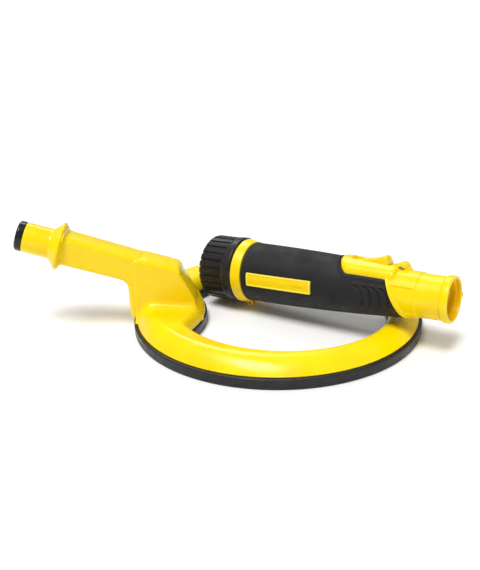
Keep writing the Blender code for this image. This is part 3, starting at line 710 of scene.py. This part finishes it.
def housing_roof(x):
    """Height of the housing's ridge: a slope that steepens towards its end."""
    return np.interp(x, (-97.0, -92.9, -88.0, -76.0, -68.5, -64.6), (53.0, 52.4, 51.4, 47.8, 45.2, 43.4))


def make_neck_housing():
    """Cover over the arm's root, as rows of rounded rectangles.

    The skirt is a quarter-round fillet that lies on the shell. The walls lean in towards the roof,
    most of all at the right. The roof's rim is a quarter round, and its rows close on the ridge.
    """
    skirt = np.linspace(0.0, math.pi / 2, 9)
    wall = np.linspace(0.0, 1.0, 12)[1:]
    rim = np.linspace(0.0, math.pi / 2, 10)[1:]
    closing = np.linspace(0.0, 1.0, 7)[1:]
    below, above = len(skirt) + len(wall), len(rim) + len(closing)
    half_roof = HOUSING_HALF_WIDTH - 0.8 - HOUSING_RIM
    lean = as_column(0 * skirt, wall, np.ones(above))
    outset = HOUSING_FLARE * as_column(1 - np.sin(skirt), 0 * wall, np.zeros(above))
    lift = HOUSING_FLARE * as_column(1 - np.cos(skirt), np.ones(len(wall) + above))
    inset = as_column(np.zeros(below), HOUSING_RIM * (1 - np.cos(rim)),
                      HOUSING_RIM + half_roof * closing)
    drop = HOUSING_RIM * as_column(np.ones(below), 1 - np.sin(rim), 0 * closing)
    right = -56.2 - 9.4 * lean
    half_x = (right - HOUSING_LEFT) / 2 + outset - inset * np.where(inset > HOUSING_RIM, 0.75, 1.0)
    half_y = HOUSING_HALF_WIDTH - 0.7 * lean + outset - inset
    corner = np.clip(1.5 + outset - 0.4 * inset, 0.05, np.maximum(half_y - 0.02, 0.05))
    x, y = rounded_rectangle(half_x, np.maximum(half_y, 0.08), corner)
    x = np.maximum(x + (HOUSING_LEFT + right) / 2, HOUSING_LEFT - 0.5)
    foot = shell_height_at(x, y) + 0.03 + lift
    roof = housing_roof(x) - 1.6 * (y / HOUSING_HALF_WIDTH) ** 2 - drop
    points = np.stack((x, y, foot * (1 - lean) + roof * lean), axis=-1)
    under = points[:1].copy()
    under[..., 0] = (under[..., 0] + (HOUSING_LEFT + right[0]) / 2) / 2
    under[..., 1] *= 0.5
    under[..., 2] -= 3.0
    middle = np.broadcast_to(under.mean(axis=1, keepdims=True), under.shape)
    ridge = points[-1:].copy()
    ridge[..., 1] = 0.0
    points = np.concatenate((middle, under, points, ridge))
    return piece("neck_housing_cover", points, COIL, YELLOW, "coil_half", "neck_housing")


def make_spigot():
    """Flange, cone and plug tube turned on the spigot's axis, with a small dimple on top."""
    corners = [(0.15, SPIGOT_BORE), (0.15, 15.2), (0.9, 16.6), (2.4, 16.6), (3.1, 15.3), (7.4, 10.7)]
    corners += [(8.6, SPIGOT_RADIUS), (SPIGOT_LENGTH, SPIGOT_RADIUS), (SPIGOT_LENGTH, SPIGOT_BORE)]
    outline = spread(rounded(corners, (0.6, 0.7, 0.7, 0.5, 0.6, 1.0, 0.35)), 0.3)
    station, radius = outline.T[:, :, None]
    angle = full_turn(240)
    around = (angle - math.pi / 2) * SPIGOT_RADIUS
    away = np.hypot(station - DIMPLE_STATION, around)
    on_tube = (radius > SPIGOT_RADIUS - 0.5) * (station > 10.0)
    radius = radius - 0.7 * (1.0 - ease(0.35, 1.1, away)) * on_tube
    points = turned(station, radius, angle)
    return piece("spigot", points, SPIGOT, YELLOW, "coil_half", "plug_spigot", wrap_rows=True)


def make_end_plug():
    """Polished end of the spigot, with a rounded well round each of its four contacts."""
    start, end = SPIGOT_LENGTH + GAP, SPIGOT_LENGTH + GAP + 4.8
    corners = [(start - 4.0, 0.0), (start - 4.0, 6.0), (start, 6.0), (start, SPIGOT_RADIUS)]
    corners += [(end - 1.1, SPIGOT_RADIUS), (end, SPIGOT_RADIUS - 1.1), (end, 0.0)]
    outline = spread(rounded(corners, (0.3, 0.2, 0.4, 0.5, 0.5)), 0.2)
    station, radius = outline.T[:, :, None]
    angle = full_turn(200)
    well = np.zeros(np.broadcast_shapes(station.shape, angle.shape))
    for quarter in range(4):
        turn = math.tau * quarter / 4 + math.pi / 4
        y = radius * np.cos(angle) - CONTACT_CIRCLE * math.cos(turn)
        z = radius * np.sin(angle) - CONTACT_CIRCLE * math.sin(turn)
        well = np.maximum(well, 1.0 - ease(1.1, 1.45, np.hypot(y, z)))
    station = station - 2.4 * well * (station > end - 0.2)
    points = turned(station, radius, angle)
    return piece("plug_tip", points, SPIGOT, NYLON_TIP, "coil_half", "end_plug")


# -------------------------------------------------------------- handle half

def grip_radius(station):
    """Outer radius of the grip: r0 - a t - b t^2, with t measured from the collar."""
    run = station - COLLAR_END
    return GRIP_START_RADIUS - GRIP_TAPER * run - GRIP_CURVE * run * run


def grip_end(angle):
    """Station of the grip's slanted end: a plane cut, further along at the bottom."""
    return GRIP_CUT - GRIP_CUT_SLANT * np.sin(angle)


def pod_half_width(station):
    """Half width of the pod's plan: full behind its nose, then less towards its end."""
    return np.interp(station, (POD_START + POD_NOSE, POD_END), (POD_HALF_WIDTH, POD_END_HALF_WIDTH))


def inside_pod(station, across):
    """Rough distance inside the pod's outline: to its tapered sides or its elliptic nose."""
    ahead = np.minimum(station - (POD_START + POD_NOSE), 0.0) / POD_NOSE
    round_nose = np.hypot(ahead, across / POD_HALF_WIDTH)
    slope = np.hypot(ahead / POD_NOSE, across / POD_HALF_WIDTH ** 2) / np.maximum(round_nose, 1e-6)
    nose = (1.0 - round_nose) / np.maximum(slope, 1e-6)
    return np.where(ahead < 0.0, nose, pod_half_width(station) - np.abs(across))


def finger_grooves(station, angle):
    """Depth of four hooked grooves on each side, less a short raised lip over each top.

    Groove k runs along s = start + k pitch + hook (1 - exp(-(top - a) / 8 degrees)), down to 31
    degrees below the side.
    """
    turn = np.degrees(np.where(np.cos(angle) > 0.0, np.arctan2(np.sin(angle), np.cos(angle)),
                               np.arctan2(np.sin(angle), -np.cos(angle))))
    below = np.maximum(GROOVE_TOP - turn, 0.0)
    ends = ease(GROOVE_TOP + 3.0, GROOVE_TOP - 0.5, turn) * ease(-33.0, -28.0, turn)
    depth = np.zeros(np.broadcast_shapes(station.shape, angle.shape))
    lips = np.zeros(depth.shape)
    for groove in range(4):
        start = GROOVE_START + GROOVE_PITCH * groove
        line = start + GROOVE_HOOK * (1.0 - np.exp(-below / 8.0))
        depth = np.maximum(depth, bell(station, line, 0.75))
        lips = lips + bell(station, start, 1.9) * bell(turn, GROOVE_TOP + 3.5, 1.8)
    return depth * ends - 0.45 * lips


def plate_window(station, angle):
    """Share that is 1 under the name plate and 0 outside its outline."""
    around = (np.mod(angle + PLATE_TURN + math.pi, math.tau) - math.pi) * grip_radius(station)
    start, end = PLATE_STATIONS
    along = ease(start - 0.5, start, station) * ease(end + 0.5, end, station)
    return along * ease(PLATE_HALF_HEIGHT + 0.5, PLATE_HALF_HEIGHT, np.abs(around))


def make_grip():
    """Rubber sleeve: radius over station and angle, with everything moulded into it.

    Added up are a bead at the collar, a lip round the pod's outline, the pod's and the plate's
    seats, the finger grooves and a rolled edge at the slanted end.
    """
    angle = full_turn(420)
    share = as_column(np.linspace(0.0, 0.03, 10), np.linspace(0.035, 0.985, 190),
                      np.linspace(0.987, 1.0, 10))
    end = grip_end(angle)
    station = COLLAR_END + (end - COLLAR_END) * share
    radius = grip_radius(station)
    across = radius * np.cos(angle)
    inside = np.where(np.sin(angle) > 0.0, inside_pod(station, across), -20.0)
    radius = radius + 0.3 * bell(station, COLLAR_END + 1.1, 0.7)
    radius = radius - 1.1 * ease(0.55, 0.0, station - COLLAR_END) - 0.7 * ease(0.9, 0.0, end - station)
    radius = radius + 0.5 * bell(inside, -1.7, 0.5) - 0.75 * bell(inside, -0.35, 0.45)
    radius = radius - 2.3 * ease(-0.2, 0.5, inside)
    radius = radius - 1.0 * finger_grooves(station, angle)
    radius = radius - 0.8 * plate_window(station, angle)
    skin = turned(station, radius, angle)
    lining = turned(station[::-20], grip_radius(station[::-20]) - 3.2, angle)
    points = np.concatenate((skin, lining))
    return piece("grip_rubber_sleeve", points, HANDLE, RUBBER, "handle", "grip_sleeve", wrap_rows=True)


def make_name_plate():
    """Plain plate laid round the grip: rows of rounded rectangles from its foot to its middle.

    A row at inset d stands at height h(d) over the grip: up the side, over a flat border, down a
    small step and across the field. Arc length round the grip takes the place of height.
    """
    inset = as_column((1.5, 0.0, 0.0, 0.06, 0.2, 0.95, 1.1, 1.25, 2.2, 3.4, PLATE_HALF_HEIGHT - 0.02))
    height = as_column((-0.7, -0.7, 0.62, 0.76, 0.82, 0.82, 0.74, 0.5, 0.5, 0.5, 0.5))
    start, end = PLATE_STATIONS
    corner = np.maximum(0.5 - inset * 0.3, 0.02)
    x, y = rounded_rectangle((end - start) / 2 - inset, PLATE_HALF_HEIGHT - inset, corner, side=60, arc=5)
    station = (start + end) / 2 + x
    angle = -PLATE_TURN + y / grip_radius(station)
    points = turned(station, grip_radius(station) + height, angle)
    border = as_column(np.ones(6), (0.6,), np.zeros(4))
    middle = [points[:1].copy(), points[-1:].copy()]
    for row in middle:
        row[..., 1:] = row[..., 1:].mean(axis=1, keepdims=True)
    points = np.concatenate((middle[0], points, middle[1]))
    border = np.concatenate((border[:1], border, border[-1:]))
    return piece("name_plate_enamel", points, HANDLE, PLATE, "handle", "name_plate", shade=border)


def pod_rise(run):
    """Height of the pod's spine over the grip, from its nose towards the boss."""
    return np.interp(run, (0.0, 1.5, 6.0, 12.0), (0.8, 1.4, 1.7, POD_RISE))


def make_top_housing():
    """Yellow housing on the grip: rows that follow its plan outline inwards to its spine.

    The plan is a half ellipse nose with tapered sides. Row d is set in by d; its points stand at
    the grip's radius plus a rise that rounds over the edge. The slider's track is pressed into it.
    """
    edge = np.linspace(0.1, math.pi / 2, 9)
    top = np.linspace(2.2, POD_HALF_WIDTH - 0.01, 46)
    inset = as_column((0.0, 0.0), 1.8 * (1 - np.cos(edge)), top)
    lift = as_column((-2.4, -0.3), np.sin(edge), np.ones(len(top)))
    nose = np.linspace(math.pi / 2, 3 * math.pi / 2, 61)
    side = np.linspace(1.0, 0.0, 50)[:-1]
    turn = np.concatenate((0 * side + nose[0], nose, 0 * side + nose[-1]))[None, :]
    share = np.concatenate((side, 0 * nose, side[::-1]))[None, :]
    centre = POD_START + POD_NOSE
    nose_depth = np.maximum(POD_NOSE - inset, 0.01)
    station = centre + nose_depth * np.cos(turn) + (POD_END - centre) * share
    across = (pod_half_width(station) - inset) * np.sin(turn)
    radius = grip_radius(station)
    over = np.where(lift < 0.0, lift, lift * pod_rise(np.minimum(station - POD_START, inset + 3.0)))
    over = over * ease(POD_END, POD_END - 2.6, station) - 1.5 * ease(POD_END - 2.6, POD_END, station)
    radius = radius + over
    z = np.sqrt(np.maximum(radius ** 2 - across ** 2, 0.0))
    track = ease(TRACK_START - 1.4, TRACK_START + 0.4, station)
    track = track * ease(SLIDER_WIDTH / 2 + 0.9, SLIDER_WIDTH / 2 + 0.3, np.abs(across))
    z = z + track * np.minimum(TRACK_HEIGHT - z, 0.0)
    points = np.stack(np.broadcast_arrays(station, across, z), axis=-1)
    bed = points[:1].copy()
    bed[..., 1] = 0.0
    bed[..., 2] = 9.0
    points = np.concatenate((bed, points))
    cap = np.zeros((len(points), 1, 3))
    cap[..., 0] = POD_END
    cap[..., 2] = 11.0
    points = np.concatenate((cap, points, cap), axis=1)
    return piece("slider_housing", points, HANDLE, YELLOW, "handle", "top_housing", wrap_columns=False)


def make_slider():
    """Thumb ramp: rows across it are upper halves of |u|^6 + |v|^6 = 1, scaled to its profile."""
    corners = [(0.0, 1.2), (0.4, 1.9), (9.0, 3.0), (13.4, 5.0), (15.4, 5.5), (16.8, 4.8), (18.0, 1.8)]
    profile = rounded(corners + [(18.4, 0.8)], (0.3, 4.0, 1.8, 1.2, 0.9, 0.6))
    along = np.linspace(0.0, 18.4, 90)
    height = np.interp(along, profile[:, 0], profile[:, 1])[:, None]
    turn = np.linspace(0.0, math.pi, 40)[None, :]
    across = SLIDER_WIDTH / 2 * np.sign(np.cos(turn)) * np.abs(np.cos(turn)) ** (1 / 3)
    top = height * np.abs(np.sin(turn)) ** (1 / 3)
    dish = 0.35 * bell(along[:, None], 12.0, 3.2) * (1 - (across / 4.8) ** 2)
    station = SLIDER_START + along[:, None] + 0 * turn
    points = np.stack(np.broadcast_arrays(station, across, TRACK_HEIGHT + GAP + top - dish * np.sin(turn)),
                      axis=-1)
    return piece("thumb_ramp", closed_ends(points), HANDLE, YELLOW, "slider", "thumb_slider")


def barrel_radius(station, angle):
    """Outer radius of the socket's body.

    A bead follows the grip's slanted end, flush with the rubber. Behind it the radius falls to the
    body's own, and a shallow panel is pressed into each side.
    """
    body = np.interp(station, (109.0, 117.0, STEP_STATION), (16.3, 15.9, 15.0))
    behind = station - grip_end(angle)
    bead = grip_radius(station) + 0.12 - body
    radius = body + bead * (1.0 - ease(2.0, 2.9, behind)) - 0.9 * ease(0.5, 0.0, behind)
    height = np.sin(angle)
    panel = ease(3.0, 3.5, behind) * ease(STEP_STATION - 1.2, STEP_STATION - 1.7, station)
    panel = panel * ease(0.43, 0.40, height) * ease(-0.73, -0.7, height)
    return radius - 0.8 * panel


def make_barrel():
    """Socket body: the shaped forward part, then the turned collar, rim and stepped bore, whose inside gets
    a deeper orange as painted shade.
    """
    angle = full_turn(360)
    end = grip_end(angle)
    share = as_column(np.linspace(0.0, 0.3, 34), np.linspace(0.31, 1.0, 40))
    station = end + (STEP_STATION - end) * share
    forward = turned(station, barrel_radius(station, angle), angle)
    corners = [(STEP_STATION, 15.0), (STEP_STATION + 0.35, 14.45), (149.0, 14.3), (150.1, 15.3)]
    corners += [(153.4, 15.4), (MOUTH, 14.9), (MOUTH, 13.5), (MOUTH - 0.8, 13.1), (151.4, 13.0)]
    corners += [(151.2, 12.0), (147.4, 11.9), (146.8, 10.8), (118.0, 10.8), (118.0, 6.5)]
    outline = rounded(corners, (0.15, 0.8, 0.5, 0.7, 0.4, 0.4, 0.4, 0.25, 0.25, 0.4, 0.4, 0.3))
    station, radius = outline[1:].T[:, :, None]
    rear = turned(station, radius, angle)
    back = turned(end, np.full(end.shape, 10.0), angle)
    points = np.concatenate((forward, rear, turned(np.array([[110.0]]), np.array([[6.5]]), angle), back))
    # Painted shade: rows inside the bore get a share of 1, for a deeper orange.
    bore_shade_share = np.concatenate((np.zeros((len(forward), 1)), ease(14.0, 13.0, radius), np.ones((2, 1))))
    return piece("socket_body", points, HANDLE, YELLOW_SOCKET, "handle", "barrel", wrap_rows=True,
                 shade=bore_shade_share)


def eyed_block(name, centre, hole_radius, reach_out, half_width, finish):
    """Block round a crosswise hole: a closed ring of sections about the hole's own axis.

    At each angle the section runs from the hole's wall, out over one rounded face edge, across the
    outside at the given reach, and back over the other face. Angle 0 points along +X, 90 up.
    """
    angle = full_turn(160)
    reach_out, half_width = np.broadcast_arrays(reach_out(angle), half_width(angle))
    corner = np.linspace(0.0, math.pi / 2, 6)[:, None]
    edge = 0.7
    radius = np.concatenate((np.full((2, 1), hole_radius) + 0 * angle,
                             hole_radius + 0.35 + 0 * angle,
                             reach_out - edge + edge * np.sin(corner)))
    width = np.concatenate((0 * angle, half_width - 0.35, half_width,
                            half_width - edge + edge * np.cos(corner)))
    radius = np.concatenate((radius, radius[:0:-1]))
    width = np.concatenate((width, -width[:0:-1]))
    x = centre[0] + radius * np.cos(angle)
    z = centre[1] + radius * np.sin(angle)
    points = np.stack((x, width, z), axis=-1)
    return piece(name, points, HANDLE, finish, "handle", None, wrap_rows=True)


def boss_reach(angle):
    """Outline of the boss: a round head that flares to the body below, and a gusset behind."""
    turn = np.degrees(np.mod(angle + math.pi, math.tau) - math.pi)
    gusset = 2.3 * bell(turn, -14.0, 20.0)
    flare = 1.5 * bell(turn, -157.0, 16.0) + 1.5 * bell(turn, -38.0, 16.0)
    return BOSS_RADIUS - 0.15 + gusset + flare


def boss_half_width(angle):
    """Half width of the boss, less where the gusset stands."""
    turn = np.degrees(np.mod(angle + math.pi, math.tau) - math.pi)
    return BOSS_HALF_WIDTH - 1.2 * bell(turn, -2.0, 26.0)


def make_slider_boss():
    """Boss behind the slider's track, round the hole of its pin."""
    centre = (BOSS_STATION, BOSS_HEIGHT)
    return eyed_block("slider_boss", centre, 1.6, boss_reach, boss_half_width, YELLOW)


def lug_reach(angle):
    """Outline of the lanyard lug about its hole: a rounded stirrup that reaches up to the collar."""
    up = np.maximum(np.sin(angle), 0.0)
    return 1.85 + 0.65 * np.cos(angle) ** 2 + 1.6 * up ** 2


def lug_half_width(angle):
    """Half width of the lug, the same all round."""
    return np.full_like(angle, LUG_HALF_WIDTH)


def make_lanyard_lug():
    """Amber lug under the collar, round its small eye."""
    return eyed_block("lanyard_lug", LUG_CENTRE, 0.9, lug_reach, lug_half_width, AMBER)


def make_collar():
    """Cone beside the nut, turned from a profile with a lipped edge."""
    corners = [(0.0, 18.4), (0.0, 22.4), (0.45, 22.9), (6.7, 21.5), (7.15, 21.1), (7.15, 18.4)]
    station, radius = rounded(corners, (0.3, 0.4, 0.4, 0.3)).T[:, :, None]
    points = turned(station, radius, full_turn(220))
    return piece("collar_cone", points, HANDLE, YELLOW, "handle", "collar", wrap_rows=True)


def make_end_nut():
    """Ribbed nut: a turned profile less a groove depth that repeats round it.

    The groove is deep in a narrow part of each pitch, with eased walls, and runs out before the
    smooth lip and into the chamfer at the open end.
    """
    corners = [(-20.3, 13.5), (NUT_START, 13.5), (NUT_START, 20.5), (-25.9, NUT_RADIUS)]
    corners += [(LIP_START, NUT_RADIUS), (LIP_START + 1.2, LIP_RADIUS), (-1.5, LIP_RADIUS)]
    corners += [(-0.55, LIP_RADIUS - 1.1), (-0.55, 18.1), (-20.3, 18.1)]
    outline = spread(rounded(corners, (0.5, 0.7, 1.2, 0.6, 0.8, 0.8, 0.5, 0.3)), 0.45)
    station, radius = outline.T[:, :, None]
    angle = full_turn(RIB_COUNT * 20)
    phase = np.mod(angle * RIB_COUNT / math.tau, 1.0)
    groove = 1.0 - ease(0.1, 0.2, np.abs(phase - 0.5))
    depth = NUT_GROOVE * groove * ease(LIP_START - 0.5, LIP_START - 1.7, station) * (radius > 18.5)
    points = turned(station, radius - depth, angle)
    return piece("ribbed_nut", points, HANDLE, NYLON, "nut", "end_nut", wrap_rows=True)


def make_battery_cap():
    """Cap in the nut's opening: a dished face with a ring groove and two spanner holes."""
    corners = [(-8.5, 0.0), (-8.5, 14.8), (-10.7, 14.8), (-10.7, 13.0), (-13.3, 13.0), (-13.3, 14.8)]
    corners += [(-15.3, 14.8), (-15.3, 17.2), (-20.0, 17.2), (-20.0, 12.8), (-26.7, 12.8)]
    corners += [(-27.4, 12.1), (-27.4, 0.0)]
    outline = spread(rounded(corners, 0.3), 0.3)
    station, radius = outline.T[:, :, None]
    angle = full_turn(180)
    face = station < -27.2
    holes = 0.0
    for side in (-1.0, 1.0):
        away = np.hypot(radius * np.cos(angle) - side * 6.4, radius * np.sin(angle))
        holes = holes + 1.6 * (1.0 - ease(1.2, 1.55, away))
    pressed = 0.45 * bell(radius, 10.4, 0.45) + 0.5 * (1.0 - ease(0.0, 9.0, radius)) + holes
    points = turned(station + pressed * face, radius, angle)
    return piece("battery_cap_face", points, HANDLE, NYLON, "battery_door", "battery_cap")


def crosswise(station, height):
    """Placing matrix of a pin across the handle: its X points to the far side."""
    return HANDLE @ Matrix.Translation((station, 0, height)) @ Matrix.Rotation(math.pi / 2, 4, "Z")


def make_cross_pin():
    """Pin across the boss, with domed ends."""
    end = BOSS_HALF_WIDTH - 0.3
    corners = [(-end, 0.0), (-end, 1.0), (0.4 - end, 1.3), (end - 0.4, 1.3), (end, 1.0), (end, 0.0)]
    station, radius = rounded(corners, 0.3).T[:, :, None]
    points = turned(station, radius, full_turn(40))
    place = crosswise(BOSS_STATION, BOSS_HEIGHT)
    return piece("boss_pin", points, place, STEEL, "handle", "cross_pin")


def make_lock_button():
    """Sprung pin through the socket's rim, with a round knob outside it."""
    corners = [(14.5, 0.0), (14.5, 1.5), (17.0, 1.5), (17.2, 2.6), (19.2, 2.5), (19.7, 1.6), (19.7, 0.0)]
    station, radius = rounded(corners, (0.2, 0.3, 0.3, 0.6, 0.5)).T[:, :, None]
    points = turned(station, radius, full_turn(48))
    place = crosswise(BUTTON_STATION, 0.0)
    return piece("lock_pin", points, place, YELLOW, "button", "lock_button")


# ------------------------------------------------------------------- studio

def make_floor():
    """Pale floor: a flat sheet of a few wide quads that runs on behind the object."""
    across, depth = np.meshgrid(np.linspace(-6.0, 6.0, 5), np.linspace(-3.0, 9.0, 5))
    points = np.stack((across, depth, np.zeros_like(across)), axis=-1).reshape(-1, 3)
    mesh = bpy.data.meshes.new("studio_floor")
    mesh.from_pydata(points.tolist(), [], grid_quads(5, 5, False, False).tolist())
    material = bpy.data.materials.new("studio_white")
    material.use_nodes = True
    shader = material.node_tree.nodes["Principled BSDF"]
    shader.inputs["Base Color"].default_value = (0.93, 0.93, 0.93, 1.0)
    shader.inputs["Roughness"].default_value = 0.85
    shader.inputs["Specular IOR Level"].default_value = 0.1
    mesh.materials.append(material)
    floor = bpy.data.objects.new("studio_floor", mesh)
    bpy.context.scene.collection.objects.link(floor)


def add_sun(name, place, strength, spread_degrees):
    """Distant lamp that shines from a place towards the origin, soft by its angular size."""
    lamp = bpy.data.lights.new(name, "SUN")
    lamp.energy = strength
    lamp.angle = math.radians(spread_degrees)
    item = bpy.data.objects.new(name, lamp)
    item.rotation_mode = "QUATERNION"
    item.rotation_quaternion = (-Vector(place)).to_track_quat("-Z", "Y")
    bpy.context.scene.collection.objects.link(item)


def light_studio():
    """White room: a broad lamp high on the left, one behind, and the strongest high in front.

    The room looks white and glows with a third of that.
    """
    world = bpy.data.worlds.new("studio_world")
    world.use_nodes = True
    background = world.node_tree.nodes["Background"]
    background.inputs["Color"].default_value = (1.0, 1.0, 1.0, 1.0)
    seen = world.node_tree.nodes.new("ShaderNodeLightPath").outputs["Is Camera Ray"]
    strength = between(world.node_tree, seen, ROOM_GLOW, 1.0, 0.0, 1.0)
    world.node_tree.links.new(strength, background.inputs["Strength"])
    bpy.context.scene.world = world
    add_sun("key_light", (-0.35, -0.2, 1.0), 0.6, 36.0)
    add_sun("rear_light", (-0.1, 0.75, 0.8), 0.7, 24.0)
    add_sun("crisp_light", (-0.2, -0.36, 1.0), 2.1, 24.0)


def set_camera():
    """Camera that looks down at 22 degrees from the front, with a slight roll."""
    up = Vector((0.0, math.sin(CAMERA_TILT), math.cos(CAMERA_TILT)))
    back = Vector((0.0, -math.cos(CAMERA_TILT), math.sin(CAMERA_TILT)))
    right = Vector((1.0, 0.0, 0.0))
    turned_right = math.cos(CAMERA_ROLL) * right + math.sin(CAMERA_ROLL) * up
    turned_up = -math.sin(CAMERA_ROLL) * right + math.cos(CAMERA_ROLL) * up
    camera = bpy.data.cameras.new("camera")
    camera.sensor_fit = "HORIZONTAL"
    camera.sensor_width = 36.0
    camera.lens = 60.0
    camera.clip_start = 0.01
    item = bpy.data.objects.new("camera", camera)
    place = Matrix((turned_right, turned_up, back)).transposed().to_4x4()
    place.translation = COIL @ Vector(CAMERA_PLACE)
    item.matrix_world = place
    bpy.context.scene.collection.objects.link(item)
    bpy.context.scene.camera = item


set_camera()
finish_inner_nodes()
make_coil_base()
make_coil_shell()
make_arm()
make_neck_housing()
make_spigot()
make_end_plug()
make_grip()
make_name_plate()
make_top_housing()
make_slider()
make_barrel()
make_slider_boss()
make_lanyard_lug()
make_collar()
make_end_nut()
make_battery_cap()
make_cross_pin()
make_lock_button()
make_floor()
light_studio()
bpy.context.scene.view_settings.view_transform = "Standard"
